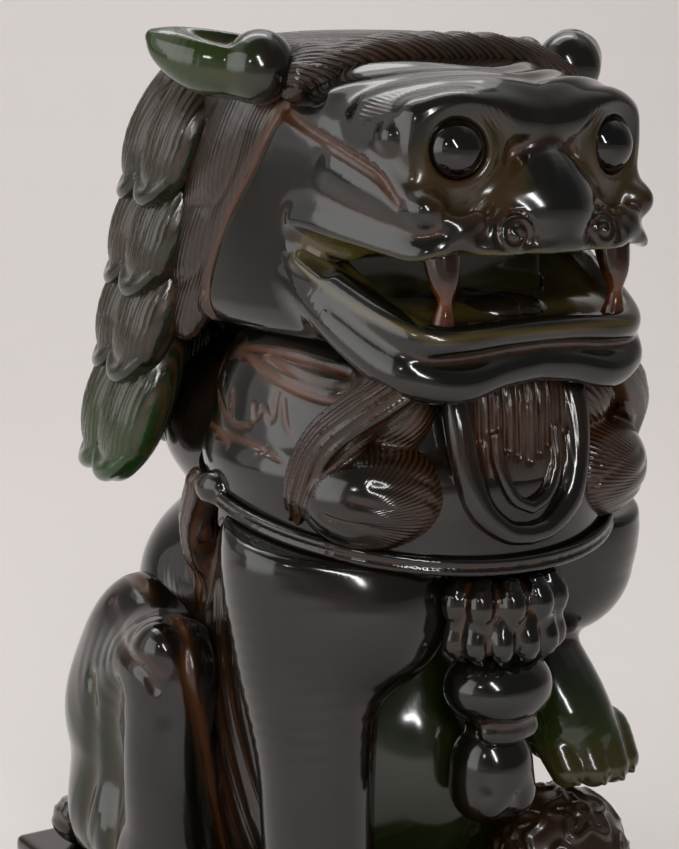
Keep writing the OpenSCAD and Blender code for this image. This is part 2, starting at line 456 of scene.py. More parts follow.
def resin(name, body, stain, glow, roughness=0.13, hair_depth=0.00022):
    """Cast resin, polished: IOR 1.55, stain in the lines, and a painted glow colour for light shining through
    where it is thin.
    """
    material = bpy.data.materials.new(name)
    material.use_nodes = True
    tree = material.node_tree
    tree.nodes.clear()
    output = add(tree, "ShaderNodeOutputMaterial")
    place = add(tree, "ShaderNodeTexCoord").outputs["Object"]
    clouds = add(tree, "ShaderNodeTexNoise", None,
                 {"Scale": 60.0, "Detail": 3.0, "Roughness": 0.5}, {"Vector": place}).outputs["Fac"]
    fine = add(tree, "ShaderNodeTexNoise", None,
               {"Scale": 900.0, "Detail": 2.0}, {"Vector": place}).outputs["Fac"]
    strand = attribute(tree, "strand")
    wave = maths(tree, "SINE", maths(tree, "MULTIPLY", strand, 2 * math.pi))
    sunk = maths(tree, "MULTIPLY", maths(tree, "SUBTRACT", 1.0, wave), 0.5)
    valley = maths(tree, "MULTIPLY", sunk, attribute(tree, "hair"))
    worn = maths(tree, "ADD", maths(tree, "MULTIPLY", clouds, 1.2), 0.1)
    patchy = maths(tree, "MULTIPLY", valley, worn, clamp=True)
    lines = maths(tree, "MAXIMUM", attribute(tree, "stain"), patchy)
    warm = maths(tree, "MULTIPLY", maths(tree, "SUBTRACT", clouds, 0.35), 2.2, clamp=True)
    depth = blend_colour(tree, warm, linear(body), linear(WARM_BROWN))
    # painted glow: a lighter colour where the resin is thin, standing for light shining through it
    base = blend_colour(tree, attribute(tree, "glow"), depth, linear(glow))
    colour = blend_colour(tree, lines, base, linear(stain))
    rough = maths(tree, "ADD", maths(tree, "MULTIPLY", lines, 0.30),
                  maths(tree, "ADD", maths(tree, "MULTIPLY", clouds, 0.06), roughness - 0.03))
    height = maths(tree, "SUBTRACT", maths(tree, "MULTIPLY", fine, 0.04), valley)
    bump = add(tree, "ShaderNodeBump", None, {"Strength": 0.8, "Distance": hair_depth}, {"Height": height})
    shader = add(tree, "ShaderNodeBsdfPrincipled", None,
                 {"IOR": 1.55, "Coat Weight": 0.25, "Coat Roughness": 0.06},
                 {"Base Color": colour, "Roughness": rough, "Normal": bump.outputs[0]})
    tree.links.new(shader.outputs[0], output.inputs[0])
    return material

# %% [markdown]
# ### Five finishes
# All five are the same resin. The hair is buffed less than the body, so it is a little
# rougher and holds more stain, the eyes have the highest polish, the fangs are coloured amber
# brown with a painted amber glow for light shining through their thin waist, and the face has a
# painted olive glow inside the mouth, standing for light shining through its thin walls.

# %% Finishes
# The last colour of each finish is its painted glow, standing for light shining through thin resin.
green_resin = resin("polished_dark_green_resin", "0a0d09", "553015", "26350f")
stained_resin = resin("stained_dark_green_resin", "0c100b", "4a2c16", "0f3a10", 0.17)
amber_resin = resin("amber_resin", "2e1408", "2a1206", "5a2c12", 0.14)
black_resin = resin("black_polished_resin", "040504", "1c120b", "101808", 0.05)
face_resin = resin("polished_resin_open_mouth", "0a0d09", "4b2a14", "4a4420")
FINISHES = (green_resin, stained_resin, amber_resin, black_resin, face_resin)
print("finishes:", [material.name for material in FINISHES])

# %% [markdown]
# ## Head
# The head is a broad mask: flat cheeks run forward from the mane to the muzzle, the forehead
# slopes down to a heavy brow, and the upper lip is a rolled edge that waves under the nose.
# The mask starts as a body cut by planes with very rounded meetings, which keeps the cheeks as
# flat as the carver's first cuts, and the features are then added and sunk one at a time.

# %% Flat sides of the face
def plane(q, point, normal):
    n = np.array(normal, np.float32)
    n = n / np.linalg.norm(n)
    return (q - np.array(point, np.float32)) @ n


def cheeks(q):
    """The flat side of the face, shared by the mask and the jaw."""
    back = plane(q, (-43.2, 0, 200), (-1, 0, 0))
    front = plane(q, (-43.2, -36, 200), (-0.960, -0.280, 0))
    return smax(back, front, 6)


# %% [markdown]
# ### Mouth and nostrils
# The mouth is a space cut out of the mask: a tube that opens wider towards the front, joined to
# a hollow behind the teeth. Each nostril is a spiral groove, because the real ones are cut as a
# single turning line. A spiral is where the radius has grown by a whole number of pitches.

# %% Mouth and nostrils
UPPER_LIP = [(-39, -45, 203, 2.0), (-37.3, -51, 202.5, 2.8), (-34.6, -60, 200.5, 3.2),
             (-31.2, -71, 198, 3.4), (-28.3, -78.5, 197, 3.2), (-25, -81.5, 199.5, 2.2),
             (-21, -83, 199.5, 2.2), (-15, -85.5, 196, 2.4), (-8, -86.8, 194.8, 2.4),
             (-3, -87.3, 196.6, 2.1), (0, -87.3, 198.4, 2.0)]
RIM = [(-37, -40, 189, 1.2), (-37.6, -47, 186, 3.0), (-36.8, -55, 182, 4.2)]


MOUTH_SLOT = [(-62, -38, 200, 2.6), (-44, -44.5, 198.3, 3.3), (-39, -55, 194.5, 5.0),
              (-33, -70, 190, 7.0), (-27, -84, 187, 7.0), (-20, -98, 186, 7)]


def mouth_gap(q):
    """Distance to the space that the open mouth takes up."""
    side = tube(q, MOUTH_SLOT, 5, 30)
    inner = block(q, (0, -76, 188.5), (31, 32, 8.5), 4)
    return smin(side, inner, 3)


def spiral(q, centre, pitch):
    """Distance to a spiral that lies in the face of the nose."""
    e = turned(q, centre, (0, 0, -18))
    r = np.sqrt(e[:, 0] ** 2 + e[:, 2] ** 2)
    turn = r / pitch - np.arctan2(e[:, 2], -e[:, 0]) / (2 * math.pi)
    arm = np.abs(turn - np.round(turn)) * pitch
    return arm + 8.0 * np.clip(r - 5.0, 0, 5) + 4.0 * np.clip(0.6 - r, 0, 1)


# %% [markdown]
# ### Seams, waves and hair beside the face
# A seam runs from the ear to the lower lid, another parts the face from the mane, three waves
# cross the forehead, and three locks lie flat against the temple. Lines on the side are
# measured with the sideways distance shrunk, so that they follow the surface wherever it lies.

# %% Seams, waves and hair
SEAM = [(-41.5, -38, 227), (-40.5, -47, 223), (-37.5, -58, 218.5), (-33.5, -69, 213.5), (-30.5, -75, 208)]
MANE_SEAM = [(-41, -40, 229), (-43.5, -30, 215), (-43.5, -17, 200), (-43.5, -9, 186), (-42, -10, 174)]
TEMPLE_LOCKS = [[(-35.5, -27, 236, 7), (-38.0, -20, 224, 9.0), (-40.0, -12, 213, 8.0), (-41.4, -4, 206, 4.6)],
                [(-35.5, -13, 215, 6), (-37.8, -7, 204, 9.0), (-39.8, 1, 193, 8.0), (-41.0, 9, 186, 4.6)],
                [(-35.5, -7, 196, 5), (-37.4, -1, 186, 8.0), (-39.2, 6, 177, 7.0)]]
SQUEEZE = np.array((1.6, 1, 1), np.float32)
UPRIGHT = np.array((1, 1, 0.2), np.float32)
SIDEWAYS = np.array((0.2, 1, 1), np.float32)
WAVES = [[(-33, -60, 233), (-25, -69, 235), (-15, -75, 232), (-7, -78, 230), (0, -79.5, 229)],
         [(-34, -50, 236), (-22, -61, 236), (-12, -68, 234), (-5, -71.5, 232), (0, -72.5, 231)],
         [(-28, -44, 240), (-16, -54, 238), (-8, -60, 236), (0, -63, 235)]]


def side_line(q, path, reach=4.0):
    """Distance to a line drawn on the side of the head, however far out the side lies."""
    return line(q * SIDEWAYS, [(0.2 * x, y, z) for x, y, z in path], reach=reach)


# %% [markdown]
# ### The mask
# Planes give the block of the head, and eggs and tubes add brow, lids, nose and lip to it.
# The order matters: the eye hollow is cut before the lids are added, and the mouth is cut
# after the lip, so that its edge stays crisp.

# %% The mask
BROW_RIDGE = [(-28, -74, 226.5, 2.2), (-20, -78.5, 227.8, 2.6), (-12, -79.5, 226.5, 3.0),
              (-6, -80, 224.6, 3.4), (0, -80, 223.6, 3.6)]
CHEEK_FOLD = [(-35.5, -56, 214.5, 1.0), (-33.5, -62, 211.8, 2.0), (-31, -69, 209.4, 2.8),
              (-29, -74.5, 207.3, 3.2)]
NOSE_BRIDGE = [(0, -74.5, 223.5, 5.0), (0, -76.5, 218.5, 5.2), (0, -80.5, 213, 7.4),
               (0, -82.5, 207, 8.5), (0, -82, 203.5, 8.2)]
NOSE_WING = [(-25.5, -81, 204.5, 1.8), (-22.5, -82.5, 203.5, 2.3), (-19.5, -83.5, 204.5, 2.2)]
EYE = (-20.2, -76.4, 219)
NOSTRIL = (-12.2, -88.6, 201.4)
SPIRAL_PITCH = 2.1


def head_form(p):
    q = mirrored(p)
    d = smax(cheeks(q), plane(q, (0, -79, 210), (0, -1, 0.05)), 9)
    d = smax(d, smax(plane(q, (0, -45, 240), (0, -0.27, 0.963)), q[:, 2] - 240, 6), 5)
    d = smax(d, plane(q, (-38, -40, 231), (-0.55, -0.25, 0.80)), 8)
    d = smax(d, plane(q, (0, 6, 200), (0, 1, 0.15)), 16)
    d = smax(d, 175.5 - q[:, 2], 7)
    d = smax(d, -smax(plane(q, (0, -45, 196.5), (0, -0.27, 0.96)), q[:, 1] + 50, 0.6), 0.6)
    d = smin(d, egg(q, (0, 12, 196), (35, 30, 36)), 6)
    d = smin(d, tube(q, RIM, 5), 5)
    # Brow, heavy over each eye, with the eye hollow cut under it
    d = smin(d, egg(q, (-18, -68, 225.2), (15, 12.5, 6.6), (0, -10, -18)), 7)
    d = smin(d, egg(q, (0, -71.5, 226), (13, 10.5, 5.6)), 7)
    d = smin(d, tube(q, BROW_RIDGE, 6), 4.5)
    d = smax(d, -egg(q, (-20.6, -81.5, 218.0), (11.0, 9.0, 9.9), (0, 0, -16)), 2.5)
    # Cheek panel, slightly dished, and the fold above it that ends in a round knob
    d = smin(d, tube(q, CHEEK_FOLD, 5), 7)
    d = smin(d, egg(q, (-28.6, -78.3, 206.6), (4.2, 4.2, 4.0)), 2.0)
    # Lids
    e = turned(q, EYE, (0, 0, -16))
    flat = np.sqrt(e[:, 0] ** 2 + e[:, 2] ** 2)
    for radius, forward, thick in ((7.5, 2.4, 1.2), (10.0, 1.2, 0.8)):
        ring = np.sqrt((flat - radius) ** 2 + (e[:, 1] + forward) ** 2) - thick
        d = smin(d, ring, 3.0)
    d = smin(d, egg(q, (-32.0, -70.5, 221.5), (3.0, 3.0, 3.2)), 1.5)
    # Nose: a smooth dome with a wing and a spiral nostril each side
    nose = tube(q, NOSE_BRIDGE, 6)
    nose = smin(nose, egg(q, (0, -79.5, 206), (16, 9.0, 9.5)), 6)
    nose = smin(nose, egg(q, (-12.2, -83.2, 201.6), (6.4, 5.6, 5.6), (0, 0, -18)), 2.5)
    d = smin(d, nose, 3.0)
    d = smin(d, tube(q, NOSE_WING, 5), 1.2)
    d = d + 1.0 * trough(spiral(q, NOSTRIL, SPIRAL_PITCH), 0.7) * (q[:, 1] < -83.5)
    # Upper lip, and the mouth cut out below it
    d = smin(d, tube(q, UPPER_LIP, 6), 4.5)
    d = smax(d, -mouth_gap(q), 1.6)
    # Waves across the forehead, seams at the temple and along the mane
    for path in WAVES:
        d = d - 0.8 * trough(line(q * UPRIGHT, [(x, y, 0.2 * z) for x, y, z in path], reach=8), 2.2)
    # Locks that reach forward beside the face, and the seam that parts them from it
    for stops in TEMPLE_LOCKS:
        flat_stops = [((x - 1.2) * 1.6, y, z, r) for x, y, z, r in stops]
        d = smin(d, tube(q * SQUEEZE, flat_stops, 5, 20) / 1.4, 0.5)
    d = d + 1.2 * trough(side_line(q, MANE_SEAM), 1.3)
    return d + 0.9 * trough(side_line(q, SEAM), 0.9)


# %% [markdown]
# ### Stain and painted glow on the face
# Stain fills the seams and the eye hollows. The wall round the mouth is thin, so a painted
# olive glow stands for light shining through it, a fainter one lies round the eyes, and hair
# strands are drawn on the brow and on the locks beside the face.

# %% Stain and painted glow on the face
def head_marks(v):
    q = mirrored(v)
    seam = np.maximum(trough(side_line(q, SEAM), 1.4), trough(side_line(q, MANE_SEAM), 1.5))
    seam = seam * (q[:, 0] < -27)
    hair_line = np.interp(q[:, 2], [172, 185, 200, 215, 228], [-12, -8, -17, -30, -41])
    behind = np.clip((q[:, 1] - hair_line) / 1.5, 0, 1)
    behind = behind * (q[:, 0] < -34)
    # inside: painted olive glow on the thin wall round the mouth, standing for light shining through
    inside = trough(np.maximum(mouth_gap(q), 0), 1.0) * (np.abs(v[:, 0]) < 39)
    eyes = trough(np.maximum(egg(q, (-18.5, -79, 212), (11, 9, 8)), 0), 2.5) * 0.3
    temple = trough(np.maximum(egg(q, (-42, -36, 229), (3, 7, 4)), 0), 2.0) * 0.4
    brow_hair = [(-34, -63, 226.5), (-27, -71, 227.5), (-20, -77, 228.5), (-13, -81.5, 226)]
    brow = trough(line(q, brow_hair), 2.2)
    slant = np.where(behind > 0.2, q[:, 1] + 0.5 * q[:, 2], q[:, 0] + 0.8 * q[:, 2])
    # painted glow round the eyes, standing for light shining through the thin lids
    painted_glow_round_eye = 0.35 * trough(np.maximum(egg(q, (-17.5, -79, 214.5), (12, 9, 9)), 0), 2.5) * (q[:, 0] < -7)
    return {"stain": np.clip(seam + eyes + temple + 0.02 * behind, 0, 1),
            "glow": np.maximum(0.9 * inside, painted_glow_round_eye),
            "hair": np.maximum(0.9 * brow, 0.42 * behind), "strand": slant / 1.25}


sculpt("head", head_form, (-48, -93, 158), (48, 50, 244), 0.73, face_resin, ["head"], head_marks)


# %% [markdown]
# ## Eyes
# The eyes are polished balls with no pupil. They are plain eggs, a little wider than deep, and
# the lids of the mask close over their rims, so each eye is seated as a real inset eye is.

# %% Eyes
def eye_form(side):
    return lambda p: egg(flipped(p, side), (-20.3, -76.6, 219.2), (6.8, 6.6, 6.8))


for side, word in SIDES:
    x0, x1 = sorted((side * 13, side * 30))
    sculpt(f"eye_{word}", eye_form(side), (x0, -86, 211), (x1, -68, 229), 0.6, black_resin,
           [f"eye_{word}"])

# %% [markdown]
# ## Open mouth
# The jaw hangs open. It has a thin lip above and a heavy rolled chin below, and both are tubes
# melted into the block of the jaw. The floor of the mouth is thin, so it gets a painted olive
# glow for light shining through, with a little stain. The tongue, a scalloped gum and two
# amber fangs are separate masses inside.

# %% Lower jaw
LOWER_LIP = [(-39, -46, 194.2, 1.8), (-37, -51, 191, 2.4), (-34.5, -60, 186.5, 2.8),
             (-32, -69, 182.5, 3.1), (-28.5, -76.5, 179.5, 3.2), (-22, -80.5, 178.8, 3.1),
             (-10, -81.5, 179.5, 3.0), (0, -81.8, 179.8, 3.0)]
CHIN = [(-37, -40, 189, 1.2), (-37.6, -47, 186, 3.0), (-36.2, -56, 181, 4.4),
        (-31.5, -70, 172.5, 5.0), (-26.5, -75.5, 169.6, 4.8), (-19, -79, 169.2, 4.4),
        (-10, -79.5, 171.4, 4.2), (0, -79.5, 172.6, 4.2)]


def jaw_form(p):
    q = mirrored(p)
    d = smax(cheeks(q) - 0.15, plane(q, (0, -79, 180), (0, -1, 0)), 8)
    d = smax(d, plane(q, (0, -60, 177), (0, 0.50, -0.86)), 5)
    d = smax(d, 170.5 - q[:, 2], 5)
    d = smax(d, plane(q, (0, -46, 195.5), (0, -0.42, 0.91)), 3)
    d = smax(d, q[:, 1] + 39, 2)
    d = smin(d, tube(q, CHIN, 6), 5)
    d = smin(d, tube(q, LOWER_LIP, 6), 3.0)
    d = smax(d, -block(q, (0, -52, 193.5), (28.5, 25, 9), 4), 2)
    corner = [(-62, -38, 200, 2.6), (-44, -44.5, 198.3, 3.0), (-39, -54, 195.5, 4.2)]
    d = smax(d, -tube(q, corner, 5, 30), 1.5)
    groove = [(-37.5, -58, 183), (-34, -67, 178), (-30, -75, 174.8), (-26, -79.5, 174.2), (-18, -82.5, 174.4),
              (-8, -83.5, 175.4), (0, -83.8, 175.8)]
    return d + 0.45 * trough(line(q, groove, reach=5), 1.8)


def jaw_marks(v):
    q = mirrored(v)
    gap = np.clip((1.2 - np.abs(mouth_gap(q))) / 1.0, 0, 1)
    # floor: painted olive glow, standing for light through the thin floor of the mouth, and a little stain
    floor = np.clip((v[:, 2] - 181.5) / 2, 0, 1) * (q[:, 0] > -30) * (v[:, 1] > -78.5)
    floor = np.maximum(floor, gap)
    return {"stain": 0.25 * floor, "glow": floor}


sculpt("lower_jaw", jaw_form, (-48, -88, 160), (48, -24, 202), 0.6, face_resin, ["lower_jaw"],
       jaw_marks)


# %% [markdown]
# ### Tongue, gum and fangs
# The tongue is two flat eggs with a line down the middle. The gum is a ridge whose height
# follows a cosine, which scallops it like a row of small teeth. The fangs are thickest at both
# ends, where they grow into the lips.

# %% Tongue, gum and fangs
def tongue_form(p):
    d = smin(egg(p, (0, -52, 182), (14, 13, 4)), egg(p, (0, -68, 182.5), (11, 8, 4)), 5)
    return d + 0.7 * trough(np.abs(p[:, 0]), 1.2)


sculpt("tongue", tongue_form, (-18, -80, 174), (18, -34, 190), 0.7, stained_resin, ["tongue"])


def gum_form(p):
    q = mirrored(p)
    ridge = [(-23, -62, 179.5, 2.4), (-20, -72, 179, 2.5), (-10, -77.5, 179, 2.6), (0, -78.5, 179, 2.6)]
    d = tube(q, ridge, 6)
    angle = np.arctan2(q[:, 0], -(q[:, 1] + 54))
    return d - 0.5 * np.cos(angle * 22) * (q[:, 2] > 179)


sculpt("gum_ridge", gum_form, (-28, -84, 174), (28, -56, 186), 0.6, stained_resin, ["gum_ridge"],
       lambda v: {"stain": np.full(len(v), 0.55)})


FANG = [(-23.5, -77, 196, 4.0), (-23.5, -78, 191.5, 3.2), (-23.5, -78.5, 187, 1.6),
        (-23.5, -78, 183, 2.3), (-23.5, -77, 178, 3.6)]


def fang_form(side):
    return lambda p: tube(flipped(p, side), FANG, 5)


def fang_marks(v):
    # painted amber glow at the thin waist of the fang, standing for light shining through
    return {"glow": np.clip(1 - np.abs(v[:, 2] - 186) / 6, 0, 1)}


for side, word in SIDES:
    x0, x1 = sorted((side * 19, side * 31))
    sculpt(f"fang_{word}", fang_form(side), (x0, -83, 171), (x1, -69, 202), 0.6, amber_resin,
           [f"fang_{word}"], fang_marks)

# %% [markdown]
# ## Ears
# An ear is a leaf that points out and back, slightly dished on top, with a round bulb at its
# root. Its tip is the thinnest part of the statue, so it gets the strongest painted green glow,
# standing for light shining through it.

# %% Ears
def ear_bowl(q):
    d = tube(q, [(-45, -32, 236, 7.5), (-52, -26, 237.5, 7.5), (-57, -20, 240, 5), (-60, -17, 242.5, 2)], 6)
    dish = [(-47, -34, 243.2, 4.2), (-52, -29, 244.6, 4.0), (-55.5, -24.5, 246.0, 2.4)]
    return smax(d, -tube(q, dish, 6), 2.0)


def ear_form(side):
    def form(p):
        q = flipped(p, side)
        d = ear_bowl(q)
        d = smin(d, egg(q, (-43.5, -35.5, 236), (8, 7.5, 8.3)), 1.5)
        return smax(d, q[:, 2] - 245.4, 1)
    return form


def ear_marks(side):
    def marks(v):
        q = flipped(v, side)
        crease = trough(line(q, [(-47, -38, 233.5), (-53, -32.5, 235.5), (-59, -23, 239.5)], reach=6), 1.6)
        # painted green glow towards the ear tip, standing for light shining through
        painted_tip_glow = np.clip((-45 - q[:, 0]) / 9, 0, 1)
        return {"stain": 0.6 * crease * (q[:, 0] < -47), "glow": painted_tip_glow}
    return marks


for side, word in SIDES:
    x0, x1 = sorted((side * 32, side * 65))
    sculpt(f"ear_{word}", ear_form(side), (x0, -46, 224), (x1, -10, 247), 0.6, green_resin,
           [f"ear_{word}"], ear_marks(side))

# %% [markdown]
# ## Crest
# Hair is combed across the top of the head in oblique locks. A saw-tooth added to a flat cap
# gives the step from each lock to the next, and a finer wave in the material gives the strands.

# %% Crest
LOCK_WIDTH = 10.0
STRAND_WIDTH = 1.9


def across_crest(p):
    """How far a point lies across the oblique, slightly wavy locks, in mm."""
    return p[:, 0] + 1.1 * p[:, 1] + 1.4 * p[:, 2] + 2.0 * np.sin(p[:, 0] / 9)


def crest_form(p):
    d = smin(block(p, (0, -9, 235), (36, 32, 6.4), 6), egg(p, (0, -9, 236.5), (35, 36, 7.6)), 4)
    hair_edge = [(-37, -40, 233, 4.5), (-20, -42.5, 238, 4.5), (0, -44, 239, 4.5),
                 (20, -42.5, 238, 4.5), (37, -40, 233, 4.5)]
    d = smin(d, tube(p, hair_edge, 6), 4)
    rise = across_crest(p) / LOCK_WIDTH
    step = rise - np.floor(rise)
    d = d - 1.8 * (np.minimum(step, 6 * (1 - step)) - 0.5)
    return smax(d, p[:, 2] - 245.2, 1.5)


def crest_marks(v):
    return {"hair": np.full(len(v), 0.9), "strand": across_crest(v) / STRAND_WIDTH}


sculpt("crest", crest_form, (-43, -51, 222), (43, 34, 246.5), 0.6, stained_resin, ["crest"],
       crest_marks)

# %% [markdown]
# ## Body and hind legs
# The body sits upright behind the forelegs. Its flank is dressed with long hair that flows
# down from the shoulder, and a flat ribbon of hair hangs from the collar knot. The haunch is
# a big smooth mass with a pointed fold over the knee and furrows down the outside.

# %% Engraving
def engraved(d, q, paths, depth, width, reach=5.0):
    """Sink carved lines of one width into a form."""
    for path in paths:
        d = d + depth * trough(line(q, path, reach=reach), width)
    return d


def drawn(q, paths, width, reach=4.0):
    """How far a point lies in one of the carved lines, 0 to 1."""
    value = np.zeros(len(q), np.float32)
    for path in paths:
        value = np.maximum(value, trough(line(q, path, reach=reach), width))
    return value


# %% [markdown]
# ## Torso
# The body is a stack of large eggs, melted together over a wide radius, because nothing on it
# is flat. The flank carries four long flowing cuts and a ribbon of hair under the collar knot.

# %% Torso
FLANK_FLOW = [[(-38, 18, 116), (-40, 8, 100), (-41, 0, 84), (-41, -8, 66), (-40, -16, 44), (-38, -20, 28)],
              [(-38, 10, 118), (-40, 2, 102), (-41, -6, 86), (-41, -13, 70), (-40, -20, 50), (-38, -24, 34)],
              [(-38, 3, 120), (-40, -5, 104), (-41, -12, 88), (-41, -18, 74), (-40, -24, 58)],
              [(-38, 26, 110), (-40, 16, 96), (-41, 8, 80), (-41, 1, 62), (-40, -8, 40), (-38, -12, 26)]]
RIBBON = [(-43, -6, 137, 4.0), (-40, 2, 126, 4.6), (-37, 6, 115, 4.2), (-35, 8, 105, 3.0)]
BESIDE_RIBBON = [(x, y + 8, z + 3.5) for x, y, z, r in RIBBON]


def torso_form(p):
    q = mirrored(p)
    d = smin(egg(p, (0, -14, 150), (38, 34, 26)), egg(p, (0, -14, 118), (36, 44, 28)), 14)
    d = smin(d, egg(p, (0, -6, 70), (33, 50, 44)), 14)
    d = smin(d, egg(p, (0, 18, 146), (38, 30, 26)), 14)
    d = smin(d, egg(p, (0, 32, 100), (38, 32, 30)), 14)
    d = smin(d, egg(p, (0, 38, 52), (37, 31, 34)), 14)
    d = smin(d, egg(q, (-18, -10, 74), (23.5, 36, 62)), 6)
    ridge = np.abs((line(q, BESIDE_RIBBON, reach=20) / 2.3) % 1 - 0.5)
    d = smin(d, tube(q, RIBBON, 6) + 1.2 * (0.5 - ridge) - 0.4, 1.5)
    d = engraved(d, q, FLANK_FLOW, 1.3, 2.6, 9)
    return smax(d, 22 - p[:, 2], 1.0)


def torso_marks(v):
    q = mirrored(v)
    ribbon = trough(np.maximum(tube(q, RIBBON, 6), 0), 1.5)
    flow = drawn(q, FLANK_FLOW, 3.4, 9)
    strand = np.where(ribbon > 0.3, line(q, BESIDE_RIBBON, reach=20) / 1.15,
                      (q[:, 1] + 0.42 * (118 - q[:, 2])) / 1.7)
    # painted green glow low on the chest, standing for light shining through
    painted_chest_glow = np.clip((-v[:, 1] - 34) / 10, 0, 1) * np.clip((112 - v[:, 2]) / 14, 0, 1)
    return {"hair": np.maximum(ribbon, 0.35 * flow), "strand": strand, "stain": 0.12 * ribbon + 0.08 * flow,
            "glow": 0.35 * painted_chest_glow}


sculpt("torso", torso_form, (-50, -62, 18), (50, 72, 175), 0.92, green_resin, ["torso"], torso_marks)

# %% [markdown]
# ## Haunches and hind paws
# Each haunch is one polished mass with a knee that stands forward. Toes are made by a small
# function, because all four paws have them.

# %% Haunches
FLANK_SEAM = [(-40, 40, 104), (-43, 26, 103.5), (-46, 3, 101), (-49, -8, 90), (-46, -8.5, 78), (-43, -8, 62),
              (-39, -6, 44), (-36, -5, 26)]
KNEE_FOLD = [(-48, 35, 98.4), (-57.4, 9.9, 94.1), (-57.5, -1.0, 91.0), (-56.1, -3.9, 87.0)]
KNEE_INNER = [(-51.4, 19.0, 97.5), (-56.6, 1.1, 95.6), (-54.8, -5.4, 90.3)]
FURROWS = [[(-57.8, 25.5, 81.0), (-59.2, 24.9, 71.3), (-58.2, 29.7, 50.7), (-57, 30, 36)],
           [(-59.0, 11.4, 82.6), (-57.4, 18.2, 72.6), (-56.9, 19.9, 60.2), (-57.5, 17.2, 44.0),
            (-56, 18, 32)]]


def haunch_form(side):
    def form(p):
        q = flipped(p, side)
        d = egg(q, (-38, 34, 62), (19, 29, 43))
        d = smin(d, tube(q, [(-42, 34, 70, 17), (-45, 14, 85, 14), (-46, 6, 88, 12)], 5), 8)
        d = smin(d, tube(q, [(-46, 4, 88, 12), (-48, 3, 66, 12), (-46, 4, 42, 13), (-46, 2, 30, 12)], 5), 5)
        d = smin(d, tube(q, [(-40, 34, 42, 20), (-46, 6, 36, 13)], 5), 6)
        d = smin(d, egg(q, (-52, 1, 95), (5.5, 7, 6.5)), 2.5)
        d = engraved(d, q, [KNEE_FOLD], 1.0, 1.4, 6)
        d = engraved(d, q, FURROWS[:1], 1.3, 2.6, 8)
        d = engraved(d, q, FURROWS[1:], 2.4, 3.2, 9)
        d = d + 0.8 * trough(line(q, FLANK_SEAM, reach=5), 1.2)
        return smax(d, 22 - q[:, 2], 1.0)
    return form


def haunch_marks(side):
    def marks(v):
        q = flipped(v, side)
        seam = drawn(q, [FLANK_SEAM], 1.9)
        return {"stain": np.clip(seam + 0.5 * drawn(q, [KNEE_FOLD, KNEE_INNER], 1.1), 0, 1),
                # painted green glow in the furrows, standing for light shining through
                "glow": 0.5 * drawn(q, FURROWS, 4.5, 9)}
    return marks


# %% [markdown]
# ### Toes and paws
# Four rounded toes lie side by side, the outer two a little further back, and each ends in a
# short claw. The same function makes the toes of all four paws.

# %% Toes
def toes(q, centre, spread, front, root, drop=4.0):
    """Four rounded toes, each ending in a short claw."""
    x, y, z = centre
    d = np.full(len(q), FAR, np.float32)
    for i in (-1.5, -0.5, 0.5, 1.5):
        back = 0 if abs(i) < 1 else 3
        toe = tube(q, [(x + i * spread * 0.92, y, z, root),
                       (x + i * spread, y - front * 0.55 + back, z + 0.4, root),
                       (x + i * spread * 1.02, y - front + back, z - drop, root * 0.8)], 4)
        claw = tube(q, [(x + i * spread * 1.02, y - front - 1.5 + back, z - drop + 1, 1.9),
                        (x + i * spread * 1.02, y - front - 4.2 + back, z - drop - 2.0, 0.9)], 3)
        d = smin(d, smin(toe, claw, 0.5), 1.1)
    return d


def paw_form(side):
    def form(p):
        q = flipped(p, side)
        d = tube(q, [(-47, 2, 31, 12), (-47, -14, 29, 10.5)], 4)
        d = smin(d, toes(q, (-47, -13, 31), 6.3, 14, 6.4), 1.6)
        return smax(d, 22 - q[:, 2], 1.0)
    return form


for side, word in SIDES:
    x0, x1 = sorted((side * 14, side * 62))
    sculpt(f"haunch_{word}", haunch_form(side), (x0, -14, 19), (x1, 66, 110), 0.7, green_resin,
           [f"haunch_{word}"], haunch_marks(side))
    x0, x1 = sorted((side * 30, side * 65))
    sculpt(f"hind_paw_{word}", paw_form(side), (x0, -36, 19), (x1, 15, 46), 0.7, green_resin,
           [f"hind_paw_{word}"])


# %% [markdown]
# ## Forelegs and ball
# The right foreleg is a plain column that widens into the chest under the collar. The left
# one bends back at the elbow and lays its paw on the ball; the resin is thin there, so it gets a
# painted green glow standing for light shining through. The ball carries the net of flowers
# that gives a brocade ball its name.

# %% Forelegs
def foreleg_right_form(p):
    d = tube(p, [(-35, -38, 138, 17), (-36, -42, 124, 19.5), (-36, -43, 104, 17.5), (-36, -46, 80, 14.2),
                 (-36, -47, 60, 13.2), (-36, -49, 36, 12.6), (-36, -55, 31, 12)], 6)
    d = smin(d, egg(p, (-25, -52, 116), (19, 18, 22)), 8)
    d = smax(d, p[:, 2] - 134 - 0.18 * (p[:, 1] + 30), 2)
    d = smin(d, toes(p, (-36, -56, 31), 6.9, 15, 7.0), 1.6)
    return smax(d, 22 - p[:, 2], 1.0)


sculpt("foreleg_right", foreleg_right_form, (-60, -80, 19), (0, -16, 160), 0.8, green_resin,
       ["foreleg_right"])


def foreleg_left_form(p):
    d = tube(p, [(36, -40, 138, 18), (37, -42, 126, 20.5), (37, -41, 116, 20)], 5)
    d = smax(d, p[:, 2] - 134 - 0.18 * (p[:, 1] + 30), 2)
    forearm = [(35, -38, 112, 15), (32, -34, 100, 11.5), (34, -49, 80, 11.5), (36, -53, 73, 10.5)]
    d = smin(d, tube(p, forearm, 5), 4)
    return smin(d, toes(p, (37, -50, 72), 5.6, 12, 5.5, 5.5), 1.2)


def foreleg_left_marks(v):
    # painted green glow on the lower forearm and paw, standing for light shining through; stain under the paw
    return {"glow": 0.9 * np.clip((96 - v[:, 2]) / 22, 0, 1), "stain": 0.3 * np.clip((76 - v[:, 2]) / 6, 0, 1)}


